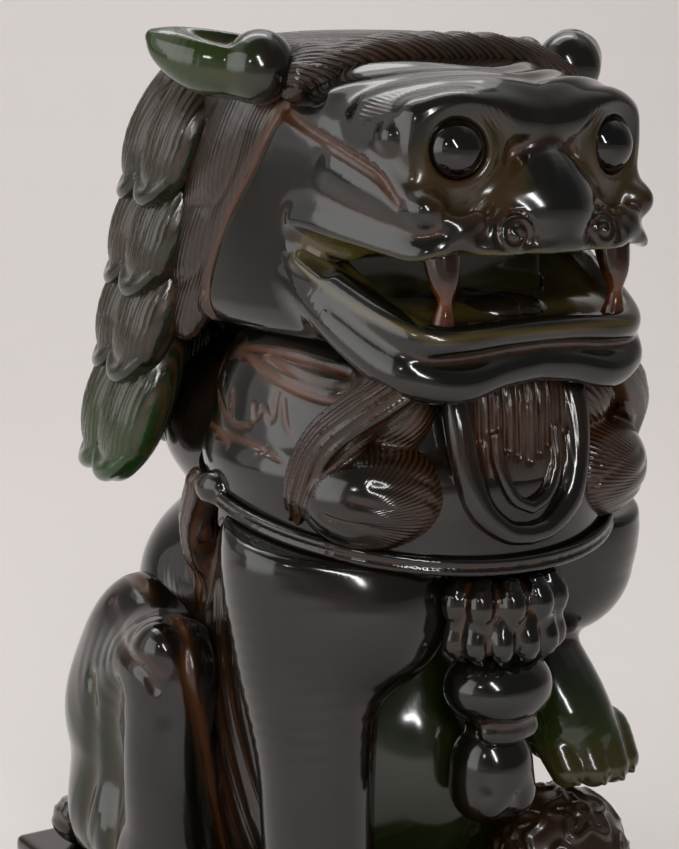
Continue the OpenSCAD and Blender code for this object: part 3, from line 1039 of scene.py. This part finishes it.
sculpt("foreleg_left", foreleg_left_form, (10, -72, 54), (61.5, -10, 160), 0.7, green_resin,
       ["foreleg_left"], foreleg_left_marks)

# %% [markdown]
# ## Ball
# A brocade ball is wrapped in a net of flowers. Twelve evenly spread directions, the corners of
# an icosahedron, place twelve flowers on it so that neighbours touch and none overlap.

# %% Ball
GOLDEN = (1 + 5 ** 0.5) / 2
CORNERS = np.array([(0, a, b * GOLDEN) for a in (-1, 1) for b in (-1, 1)]
                   + [(a, b * GOLDEN, 0) for a in (-1, 1) for b in (-1, 1)]
                   + [(b * GOLDEN, 0, a) for a in (-1, 1) for b in (-1, 1)], np.float32)
CORNERS /= np.linalg.norm(CORNERS[0])


def flower_net(direction):
    """Relief of twelve five-petalled flowers spread evenly over a ball."""
    relief = np.zeros(len(direction), np.float32)
    for corner in CORNERS:
        side_way = np.cross(corner, (0.31, 0.17, 0.93))
        side_way /= np.linalg.norm(side_way)
        along = direction @ corner
        angle = np.arccos(np.clip(along, -1, 1))
        around = np.arctan2(direction @ np.cross(corner, side_way), direction @ side_way)
        petal = 0.40 * (1 + 0.22 * np.cos(5 * around))
        relief = np.maximum(relief, trough(angle - petal, 0.07))
        relief = np.maximum(relief, 0.9 * trough(angle - 0.10, 0.05))
        spokes = np.abs(np.sin(2.5 * around)) * angle
        relief = np.maximum(relief, 0.8 * trough(spokes, 0.035) * (angle > 0.16) * (angle < 0.36))
    return relief


BALL_CENTRE = (33, -50, 40.5)
BALL_RADIUS = 17.6
RELIEF = 0.9


def ball_form(p):
    q = turned(p, BALL_CENTRE)
    r = np.sqrt((q ** 2).sum(1))
    return r - BALL_RADIUS - RELIEF * flower_net(q / np.maximum(r, 1)[:, None])


sculpt("brocade_ball", ball_form, (12, -71, 20), (54, -29, 62), 0.55, stained_resin, ["brocade_ball"],
       lambda v: {"stain": np.full(len(v), 0.35)})

# %% [markdown]
# ## Cape and collar
# A smooth cape lies over the chest and shoulders, tied by a cord with a knot at each side.
# It is engraved with fine lines: two long leaves from the junction behind the jaw, and small
# zigzag tufts below them. The lines were cut after casting and rubbed with brown stain.

# %% Cape
LEAF_LINES = [[(-40.5, -12, 172), (-40.1, -23.8, 171.7), (-37, -44.2, 171), (-32.0, -53, 169)],
              [(-41, -14, 171), (-41.5, -26.1, 170.0), (-41.4, -39.8, 166.0), (-36.5, -51.5, 163.1),
               (-32, -56, 165)],
              [(-40.5, -33.0, 170.8), (-39, -46.9, 167.3), (-32.5, -55.8, 165.8)],
              [(-40.5, -12, 172), (-39.8, -9, 163)], [(-40.5, -12, 172), (-38, -2, 166), (-36, 6, 160)]]
TUFT_LINES = [[(-42.4, -12.9, 160.3), (-46.1, -25.6, 155.1), (-45.8, -33.3, 155.4)],
              [(-45.7, -24.8, 156.6), (-44.6, -23.1, 161.2)],
              [(-44.6, -33.6, 160.1), (-45.1, -34.8, 157.1), (-44.1, -36.8, 159.6), (-43.7, -40.0, 157.8),
               (-42.3, -40.0, 163.4)],
              [(-41.9, -41.9, 162.3), (-42.5, -44.1, 156.9), (-43.1, -49.4, 153.7)],
              [(-44, -12, 152.4), (-47.0, -25.6, 152.4), (-46.8, -34.9, 151.8), (-45.7, -41.5, 150.7),
               (-45.3, -48.7, 149.1)],
              [(-46.5, -20.0, 151.5), (-47.7, -27.4, 149.9), (-45.2, -19.5, 141.7)],
              [(-47.5, -36.1, 147.6), (-45.8, -40.9, 150.6)]]


def cape_form(p):
    q = mirrored(p)
    d = smin(egg(q, (0, -27, 162), (44, 42, 24)), egg(q, (0, -29, 147), (48, 46, 20)), 10)
    around = (np.sqrt((q[:, 0] / 47.6) ** 2 + ((q[:, 1] + 30) / 48.4) ** 2) - 1) * 47
    skirt = smax(smax(around, 134.8 + 0.18 * (q[:, 1] + 30) - q[:, 2], 1.5), q[:, 2] - 148, 5)
    d = smin(d, skirt, 6)
    d = engraved(d, q, LEAF_LINES, 0.5, 0.9)
    return engraved(d, q, TUFT_LINES, 0.4, 0.7)


def cape_marks(v):
    q = mirrored(v)
    leaf = trough(np.maximum(egg(q, (-39.5, -40, 168), (5, 17, 4.5), (0, 0, -18)), 0), 1.5)
    return {"stain": np.clip(drawn(q, LEAF_LINES, 1.0) + 0.8 * drawn(q, TUFT_LINES, 0.8) + 0.25 * leaf, 0, 1)}


sculpt("cape", cape_form, (-54, -84, 120), (54, 24, 190), 0.7, green_resin, ["cape"], cape_marks)

# %% [markdown]
# ## Collar
# The collar is a cord of two strands with a knot at each side. It follows a tilted ellipse that
# is low at the chest and rises towards the back.

# %% Collar
COLLAR = [(49 * math.sin(t), -30 - 50 * math.cos(t), 127 + 9 * (1 - math.cos(t)))
          for t in np.radians(np.linspace(-135, 135, 25))]


def collar_form(p):
    q = mirrored(p)
    upper = tube(p, [(x, y, z + 1.0, 1.0) for x, y, z in COLLAR], 3)
    lower = tube(p, [(x, y, z - 1.0, 1.0) for x, y, z in COLLAR], 3)
    knot = egg(q, (-48, -21, 139), (3.4, 5.4, 4.2), (0, 0, 20))
    return smin(smin(upper, lower, 0.5), knot, 0.8)


sculpt("collar_band", collar_form, (-54, -86, 120), (54, 12, 148), 0.55, green_resin, ["collar_band"])

# %% [markdown]
# ## Beard
# Under the chin the beard divides. The middle is a tongue of hair framed by a rolled edge in
# the shape of a U. At each side a strap of parallel strands sweeps back from the chin and
# ends over a round tuft whose strands fan out from its outer end.

# %% Beard
def beard_edge(turned_in=0.0):
    return [(-17.2 + turned_in, -70, 171), (-16.4 + turned_in, -73.5, 160), (-15.2 + turned_in, -75.5, 149),
            (-12.2 + turned_in, -77, 140), (-6, -78, 134.6 + turned_in), (0, -78.5, 133.4 + turned_in)]


DRIPS_AT = (-11.5, -8.6, -5.7, -2.9, 0, 2.9, 5.7, 8.6, 11.5)


def drip(x):
    """One cut that runs down the front of the beard, shorter near the edge."""
    return [(x, -74.5 - 0.06 * (168 - z) - 1.8 * math.cos(x / 8), z) for z in (170, 163, 156, 150 + abs(x) / 2)]


def beard_form(p):
    q = mirrored(p)
    d = smin(egg(p, (0, -67, 164), (17, 9.5, 10)), egg(p, (0, -69, 148), (17.5, 9.5, 17.5)), 8)
    widths = (2.4, 3.2, 3.4, 3.3, 2.8, 2.6)
    d = smin(d, tube(q, [(*stop, w) for stop, w in zip(beard_edge(), widths)], 6), 2.5)
    inner = [(-8.5, -76.5, 156), (-7.5, -78, 148), (-4.5, -79, 142), (0, -79.3, 139.6)]
    d = smin(d, tube(q, [(*stop, 1.5) for stop in inner], 6), 1.2)
    return engraved(d, p, [drip(x) for x in DRIPS_AT], 1.1, 0.95)


def beard_marks(v):
    frame = line(mirrored(v), beard_edge(), reach=8)
    drips = np.clip((frame - 3) / 1.5, 0, 1) * np.clip((v[:, 2] - 146) / 8, 0, 1)
    return {"stain": 0.25 * drips, "hair": 0.9 * drips, "strand": v[:, 0] / 1.1}


sculpt("beard", beard_form, (-24, -86, 126), (24, -58, 178), 0.55, green_resin, ["beard"],
       beard_marks)

# %% [markdown]
# ## Straps and side tufts
# A strap of combed hair runs back from the chin at each side, over a round tuft. The strands
# run along the strap, so their number is counted from a copy of its path laid beside it.

# %% Straps and side tufts
STRAP = [(-26.5, -73, 171), (-31, -71, 167.5), (-36, -67, 163), (-40.5, -62, 157.5), (-43, -57.5, 151),
         (-44.2, -54, 144), (-43, -50, 137.5)]
BESIDE_STRAP = [(x - 5.0, y + 6.3, z + 7.3) for x, y, z in STRAP]


def tuft_form(side):
    def form(p):
        q = flipped(p, side)
        ball = egg(q, (-31, -61.5, 143.0), (16.6, 13.6, 12.6), (0, 0, -37))
        whorl = [[(-37, -72, 151), (-31, -75, 150), (-23.5, -74, 146)],
                 [(-38, -73, 147.5), (-31, -76.5, 146), (-22, -74.5, 141.5)],
                 [(-42, -70, 144), (-35, -75.5, 142), (-28, -76.5, 139.5), (-21.5, -74, 136.5)],
                 [(-45, -64, 140), (-38, -72, 138), (-30, -74.5, 135.5), (-23, -73, 133.5)]]
        ball = engraved(ball, q, whorl, 0.6, 0.9)
        strap = tube(q, [(*stop, w) for stop, w in zip(STRAP, (4.0, 4.6, 5.4, 5.8, 5.2, 4.0, 2.0))], 6)
        ball = smin(ball, egg(q, (-25.5, -60, 162), (9.5, 12, 11)), 2)
        ridges = np.abs(((line(q, BESIDE_STRAP, reach=20) / 2.1) % 1) - 0.5)
        return smin(ball, strap + 1.6 * (0.5 - ridges) - 0.5, 1.0)
    return form


def tuft_marks(side):
    def marks(v):
        q = flipped(v, side)
        strap = trough(np.maximum(tube(q, [(*stop, 4.8) for stop in STRAP], 6), 0), 1.5)
        fan = np.clip((q[:, 0] + 40) / 12, 0, 1) * (1 - strap)
        angle = np.arctan2(q[:, 2] - 140, q[:, 0] + 46)
        return {"hair": np.maximum(0.75 * strap, 0.9 * fan), "stain": 0.06 * fan,
                "strand": np.where(strap > 0.4, line(q, BESIDE_STRAP, reach=20) / 1.05, angle * 20)}
    return marks


for side, word in SIDES:
    x0, x1 = sorted((side * 14, side * 50))
    sculpt(f"beard_tuft_{word}", tuft_form(side), (x0, -80, 126), (x1, -38, 180), 0.5, green_resin,
           [f"beard_tuft_{word}"], tuft_marks(side))

# %% [markdown]
# ## Tassel
# A bell, a bead and a drop hang one under the other from the collar. The bell is cut like an
# opened flower, and the two below are left smooth so that they shine.

# %% Tassel
def bell_form(p):
    d = smin(egg(p, (0, -68, 115), (14, 10.5, 8)), egg(p, (0, -68, 108), (12, 10, 5)), 4)
    for k in range(6):
        t = math.radians(-80 + 32 * k)
        x, y = math.sin(t), -math.cos(t)
        d = smin(d, tube(p, [(12.5 * x, -68 + 9.0 * y, 121.5, 2.4), (14.0 * x, -68 + 10.4 * y, 117, 3.4),
                             (12.8 * x, -68 + 9.7 * y, 112, 1.6)], 4), 1.8)
    for k in range(7):
        t = math.radians(-84 + 28 * k)
        x, y = math.sin(t), -math.cos(t)
        leaf = [(12.4 * x, -68 + 9.8 * y, 112), (13.4 * x, -68 + 11.0 * y, 107.5),
                (10.5 * x, -68 + 9.2 * y, 103.6)]
        d = smin(d, tube(p, [(*leaf[0], 3.0), (*leaf[1], 2.8), (*leaf[2], 1.2)], 4), 1.6)
        d = d + 0.7 * trough(line(p, leaf, reach=4), 0.8)
    return d


def bead_form(p):
    neck = tube(p, [(-5, -72, 86, 3), (0, -73, 85.6, 3), (5, -72, 86, 3)], 3)
    return smin(egg(p, (0, -68, 95.5), (13.3, 11.5, 9.6)), neck, 2)


def drop_form(p):
    d = egg(p, (0, -66, 75), (9.8, 9.8, 11.8))
    for x in (-4.4, 4.4):
        d = smin(d, egg(p, (x, -66.5, 69), (5.2, 8.0, 6.0)), 3)
    d = d + 1.4 * trough(line(p, [(2.2, -72, 62), (2.0, -75, 66.5), (1.2, -75.8, 70)], reach=5), 1.2)
    return smin(d, egg(p, (0, -66, 85), (6.4, 6.4, 2.2)), 1.0)


sculpt("tassel_bell", bell_form, (-20, -84, 100), (20, -54, 128), 0.5, green_resin, ["tassel_bell"])
sculpt("tassel_bead", bead_form, (-16, -82, 82), (16, -54, 108), 0.6, green_resin, ["tassel_bead"])
sculpt("tassel_drop", drop_form, (-12, -78, 61), (12, -54, 89), 0.6, green_resin, ["tassel_drop"])

# %% [markdown]
# ## Mane
# The mane hangs behind the face in four rows. Every lock is the same petal with its tip
# rolled backwards, so one lock is carved for each side and a geometry-nodes group sets it
# along the row. The group's inputs are the number of locks, their tilt and their size.

# %% One lock
LOCK_SPINE = [(0.0, -3.0, 4.0), (0.3, 0.5, -4.0), (1.2, 3.6, -12.0), (3.6, 5.2, -18.5), (7.0, 5.0, -22.5)]
CURL = [(-3.5, 6.8, -20.5, 1.2), (1.0, 8.2, -23.2, 2.0), (6.8, 7.8, -24.0, 2.7),
        (10.8, 6.0, -20.6, 2.8), (11.2, 4.6, -15.5, 1.6)]


def lock_form(hand):
    def form(p):
        q = p * np.array((hand, 1, 1), np.float32)
        squeezed = q * np.array((1, 1.45, 1), np.float32)
        stops = [(x, y * 1.45, z, r) for (x, y, z), r in zip(LOCK_SPINE, (7.4, 9.4, 9.6, 7.4, 4.6))]
        d = tube(squeezed, stops, 6, 20) / 1.3
        flat = q * np.array((1, 0, 1), np.float32)
        for k in (-5.4, -2.7, 0, 2.7, 5.4):
            path = [(x * 1.1 + k * (1 - 0.12 * i), 0, z) for i, (x, y, z) in enumerate(LOCK_SPINE)]
            d = d + 0.55 * trough(line(flat, path, reach=5), 0.8) * (q[:, 1] > 0)
        return smin(d, tube(q, CURL, 6), 0.8)
    return form


def lock_marks(hand):
    def marks(v):
        q = v * np.array((hand, 1, 1), np.float32)
        lean = np.interp(q[:, 2], [-22, -18.5, -12, -4, 4], [6.6, 3.4, 1.2, 0.3, 0.0])
        return {"hair": 0.8 * np.clip((q[:, 2] + 22) / 4, 0, 1), "strand": (q[:, 0] - lean) / 1.15,
                "stain": np.full(len(v), 0.10)}
    return marks


def lock_object(name, hand):
    piece = carve(name, lock_form(hand), (-16, -10, -30), (16, 14, 16), 0.65, lock_marks(hand))
    obj = bpy.data.objects.new(name, piece)
    return obj


right_lock, left_lock = lock_object("lock_right", 1), lock_object("lock_left", -1)
print("one lock:", len(right_lock.data.polygons), "faces")


# %% [markdown]
# ## A row of locks
# A geometry-nodes group sets locks along a path: right-handed ones on the first half and
# left-handed ones on the second, so that the curls on both sides turn the same way round the
# neck. Its seed is fixed, so the small differences in size are the same each time.

# %% Row of locks as a node group
def socket(tree, name, kind, default=None):
    item = tree.interface.new_socket(name=name, in_out="INPUT", socket_type=kind)
    if default is not None:
        item.default_value = default
    return item.identifier


def row_group():
    tree = bpy.data.node_groups.new("mane_row_of_locks", "GeometryNodeTree")
    tree.interface.new_socket(name="Geometry", in_out="OUTPUT", socket_type="NodeSocketGeometry")
    keys = {"path": socket(tree, "Path", "NodeSocketGeometry"),
            "right": socket(tree, "Right lock", "NodeSocketObject"),
            "left": socket(tree, "Left lock", "NodeSocketObject"),
            "count": socket(tree, "Lock count", "NodeSocketInt", 9),
            "tilt": socket(tree, "Tilt", "NodeSocketFloat", 0.1),
            "size": socket(tree, "Size", "NodeSocketFloat", 1.0),
            "seed": socket(tree, "Seed", "NodeSocketInt", 3),
            "material": socket(tree, "Material", "NodeSocketMaterial")}
    given = add(tree, "NodeGroupInput")
    curve_ = add(tree, "GeometryNodeMeshToCurve", None, None, {"Mesh": given.outputs["Path"]})
    points = add(tree, "GeometryNodeResampleCurve", None, None,
                 {"Curve": curve_.outputs[0], "Count": given.outputs["Lock count"]})
    tangent = add(tree, "GeometryNodeInputTangent")
    facing = add(tree, "FunctionNodeAlignRotationToVector", {"axis": "X", "pivot_axis": "Z"}, None,
                 {"Vector": tangent.outputs[0]})
    lean = add(tree, "ShaderNodeCombineXYZ", None, None, {"X": given.outputs["Tilt"]})
    lean_turn = add(tree, "FunctionNodeEulerToRotation", None, None, {"Euler": lean.outputs[0]})
    turn = add(tree, "FunctionNodeRotateRotation", {"rotation_space": "LOCAL"}, None,
               {"Rotation": facing.outputs[0], "Rotate By": lean_turn.outputs[0]})
    vary = add(tree, "FunctionNodeRandomValue", {"data_type": "FLOAT"}, {2: 0.97, 3: 1.03},
               {"Seed": given.outputs["Seed"]})
    size = maths(tree, "MULTIPLY", vary.outputs[1], given.outputs["Size"])
    part = add(tree, "GeometryNodeSplineParameter").outputs["Factor"]
    join = add(tree, "GeometryNodeJoinGeometry")
    for key, operation in (("Right lock", "LESS_THAN"), ("Left lock", "GREATER_EQUAL")):
        here = add(tree, "FunctionNodeCompare", {"data_type": "FLOAT", "operation": operation},
                   {1: 0.5}, {0: part})
        model = add(tree, "GeometryNodeObjectInfo", None, None, {"Object": given.outputs[key]})
        placed = add(tree, "GeometryNodeInstanceOnPoints", None, None,
                     {"Points": points.outputs[0], "Selection": here.outputs[0],
                      "Instance": model.outputs["Geometry"], "Rotation": turn.outputs[0], "Scale": size})
        tree.links.new(placed.outputs[0], join.inputs[0])
    real = add(tree, "GeometryNodeRealizeInstances", None, None, {"Geometry": join.outputs[0]})
    coloured = add(tree, "GeometryNodeSetMaterial", None, None,
                   {"Geometry": real.outputs[0], "Material": given.outputs["Material"]})
    output = add(tree, "NodeGroupOutput")
    tree.links.new(coloured.outputs[0], output.inputs[0])
    return tree, keys


row_tree, row_keys = row_group()

# %% [markdown]
# ## Four rows
# Each row is a horseshoe round the back of the head, lower and wider than the one above, and
# its locks overlap the next row as tiles do.

# %% Four rows
# Height, half width, depth and middle of each row in mm, and the size of its locks
ROWS = [(228.5, 40.5, 34, 6, 1.00), (207, 41.5, 35, 13, 1.02), (186, 42.5, 35, 19, 1.05),
        (162.5, 43.5, 34, 25, 1.12)]
for k, (z, wide, deep, mid, size) in enumerate(ROWS):
    turns = [math.radians(188 - 196 * i / 60) for i in range(61)]
    path = bpy.data.meshes.new(f"row_path_{k + 1}")
    path.from_pydata([(wide * MM * math.cos(t), (mid + deep * math.sin(t)) * MM, z * MM) for t in turns],
                     [(i, i + 1) for i in range(60)], [])
    holder = bpy.data.objects.new(f"row_path_{k + 1}", path)
    scene.collection.objects.link(holder)
    modifier = holder.modifiers.new("locks", "NODES")
    modifier.node_group = row_tree
    for key, value in (("right", right_lock), ("left", left_lock), ("count", 9), ("tilt", 0.10 - 0.02 * k),
                       ("size", size), ("seed", 11 + k), ("material", stained_resin)):
        modifier[row_keys[key]] = value
    bpy.context.view_layer.update()
    done = bpy.data.meshes.new_from_object(holder.evaluated_get(bpy.context.evaluated_depsgraph_get()))
    holder.modifiers.remove(modifier)
    bpy.data.objects.remove(holder)
    height = np.zeros(3 * len(done.vertices), np.float32)
    done.vertices.foreach_get("co", height)
    height = height.reshape(-1, 3)[:, 2] / MM
    # painted green glow, strongest on the lowest locks, standing for light shining through their thin tips
    green = np.clip((168 - height) / 22, 0.18, 1).astype(np.float32)
    done.attributes["glow"].data.foreach_set("value", green)
    print(f"mane_row_{k + 1}:", len(done.polygons), "faces")
    new_piece(f"mane_row_{k + 1}", done, stained_resin, [f"mane_row_{k + 1}"])

# %% [markdown]
# ## Tail and plinth
# The tail rises against the back as a flame of three locks and its root curls along the
# plinth. The plinth is a moulded slab with a step above and below.

# %% Tail
def tail_form(p):
    flames = [[(0, 58, 50, 8), (-2, 64, 70, 8), (4, 65, 88, 5.5), (0, 60, 102, 2.0)],
              [(-8, 60, 46, 7), (-14, 65, 62, 6.5), (-12, 65, 78, 4.5), (-17, 61, 90, 1.6)],
              [(4, 58, 42, 6), (7, 65, 56, 5.5), (5, 66, 72, 4), (9, 62, 82, 1.6)],
              [(-2, 60, 46, 8.5), (-16, 66, 35, 8.5), (-34, 66, 29, 8.5), (-46, 62, 30, 7.5), (-50, 57, 34, 4)]]
    d = np.full(len(p), FAR, np.float32)
    for flame in flames:
        beside = [(x + 8, y, z + 8) for x, y, z, r in flame]
        strand = np.abs(((line(p, beside, reach=24) / 2.8) % 1) - 0.5)
        d = smin(d, tube(p, flame, 6) + 0.9 * (0.5 - strand), 0.8)
    return smax(d, 22 - p[:, 2], 1)


sculpt("tail", tail_form, (-60, 44, 19), (16, 78, 108), 0.65, stained_resin, ["tail"],
       lambda v: {"stain": np.full(len(v), 0.15)})

# %% [markdown]
# ## Plinth
# Three slabs, the middle one set back, melt into one moulded plinth with a flat underside.

# %% Plinth
def plinth_form(p):
    d = block(p, (0, 0, 3.5), (58, 79, 3.5), 1.5)
    d = smin(d, block(p, (0, 0, 11), (54.5, 75.5, 7), 1.5), 1.5)
    return smin(d, block(p, (0, 0, 19.5), (58, 79, 2.5), 1.5), 1.5)


sculpt("plinth", plinth_form, (-60, -81, -2), (60, 81, 25), 1.4, green_resin, ["plinth"])

# %% [markdown]
# ## Stage and light
# Black gloss is seen only by what it mirrors. A pale room gives the broad grey sheen, two dark
# patches in it keep the near-black of the resin, and a narrow lamp draws the bright line on the
# nose and the balls. The floor is a sheet of pale paper that curves up behind.

# %% Paper
def plain(name, code, roughness):
    material = bpy.data.materials.new(name)
    material.use_nodes = True
    shader = material.node_tree.nodes["Principled BSDF"]
    shader.inputs["Base Color"].default_value = linear(code)
    shader.inputs["Roughness"].default_value = roughness
    return material


def sheet_mesh(name, points, faces, material):
    mesh = bpy.data.meshes.new(name)
    mesh.from_pydata(points, [], faces)
    mesh.materials.append(material)
    obj = bpy.data.objects.new(name, mesh)
    scene.collection.objects.link(obj)
    return obj


paper = plain("backdrop_paper", "e6e0dd", 0.9)
profile = [(-7.0, 0.0), (0.75, 0.0)]
for k in range(1, 13):
    a = math.radians(90 * k / 12)
    profile.append((0.75 + 0.6 * math.sin(a), 0.6 - 0.6 * math.cos(a)))
profile.append((1.35, 2.6))
points = []
turn_cos, turn_sin = math.cos(VIEW_TURN), math.sin(VIEW_TURN)
for y, z in profile:
    for x in (-4.5, 4.5):
        points.append((x * turn_cos - y * turn_sin, x * turn_sin + y * turn_cos, z))
strips = [(2 * i, 2 * i + 1, 2 * i + 3, 2 * i + 2) for i in range(len(profile) - 1)]
sheet_mesh("backdrop", points, strips, paper)
print("backdrop:", len(strips), "strips")

# %% [markdown]
# ### The room
# The world stands for a pale room with two dark sides, one high on the left and one on the
# right. Each is a smooth step in the angle from its middle, so its edge is soft in the gloss.

# %% The room
scene.view_settings.view_transform = "Standard"
world = bpy.data.worlds.new("studio")
scene.world = world
world.use_nodes = True
sky = world.node_tree
heading = add(sky, "ShaderNodeTexCoord").outputs["Generated"]


def dark_side(towards, start, end):
    """0 far from the direction given, 1 close to it; start and end are cosines."""
    aim = add(sky, "ShaderNodeVectorMath", {"operation": "DOT_PRODUCT"}, {1: towards}, {0: heading})
    return add(sky, "ShaderNodeMapRange", {"interpolation_type": "SMOOTHSTEP"},
               {"From Min": start, "From Max": end, "To Min": 0.0, "To Max": 1.0},
               {"Value": aim.outputs["Value"]}).outputs[0]


dark = maths(sky, "MAXIMUM", dark_side((-0.35, -0.60, 0.72), 0.45, 0.85),
             dark_side((0.50, -0.85, 0.10), 0.25, 0.85))
tone = add(sky, "ShaderNodeMix", {"data_type": "RGBA"},
           {6: (0.66, 0.655, 0.65, 1), 7: (0.10, 0.10, 0.10, 1)}, {0: dark})
sky.links.new(tone.outputs[2], sky.nodes["Background"].inputs[0])

# %% [markdown]
# ### Lamps
# Two big soft lamps light the figure from the left and from above and a third lights the
# paper. A narrow strip in front draws the bright glints, and a small lamp adds a second one.

# %% Lamps
def lamp(name, place, target, size, power, colour=(1, 1, 1)):
    data = bpy.data.lights.new(name, "AREA")
    data.shape = "RECTANGLE"
    data.size, data.size_y = size
    data.energy = power
    data.color = colour
    obj = bpy.data.objects.new(name, data)
    scene.collection.objects.link(obj)
    obj.location = place
    obj.rotation_euler = Vector([t - v for t, v in zip(target, place)]).to_track_quat("-Z", "Y").to_euler()
    return obj


lamp("left_softbox", (-1.2, 0.1, 0.45), (0, 0, 0.15), (1.0, 1.1), 5.0)
lamp("backdrop_lamp", (0.05, 0.55, 1.5), (0.45, 1.1, 0.5), (1.2, 0.5), 7)
lamp("top_softbox", (0.1, 0.45, 1.4), (0, 0, 0.15), (1.4, 1.0), 6)
strip = lamp("front_strip", (-0.30, -0.62, 0.44), (0, 0, 0.18), (0.05, 0.36), 1.6)
strip.rotation_euler.rotate_axis("Z", math.radians(28))
lamp("small_lamp", (-0.62, -0.42, 0.44), (0, 0, 0.18), (0.05, 0.05), 0.2)

# %% [markdown]
# ## Finish

# %% Finish
import json
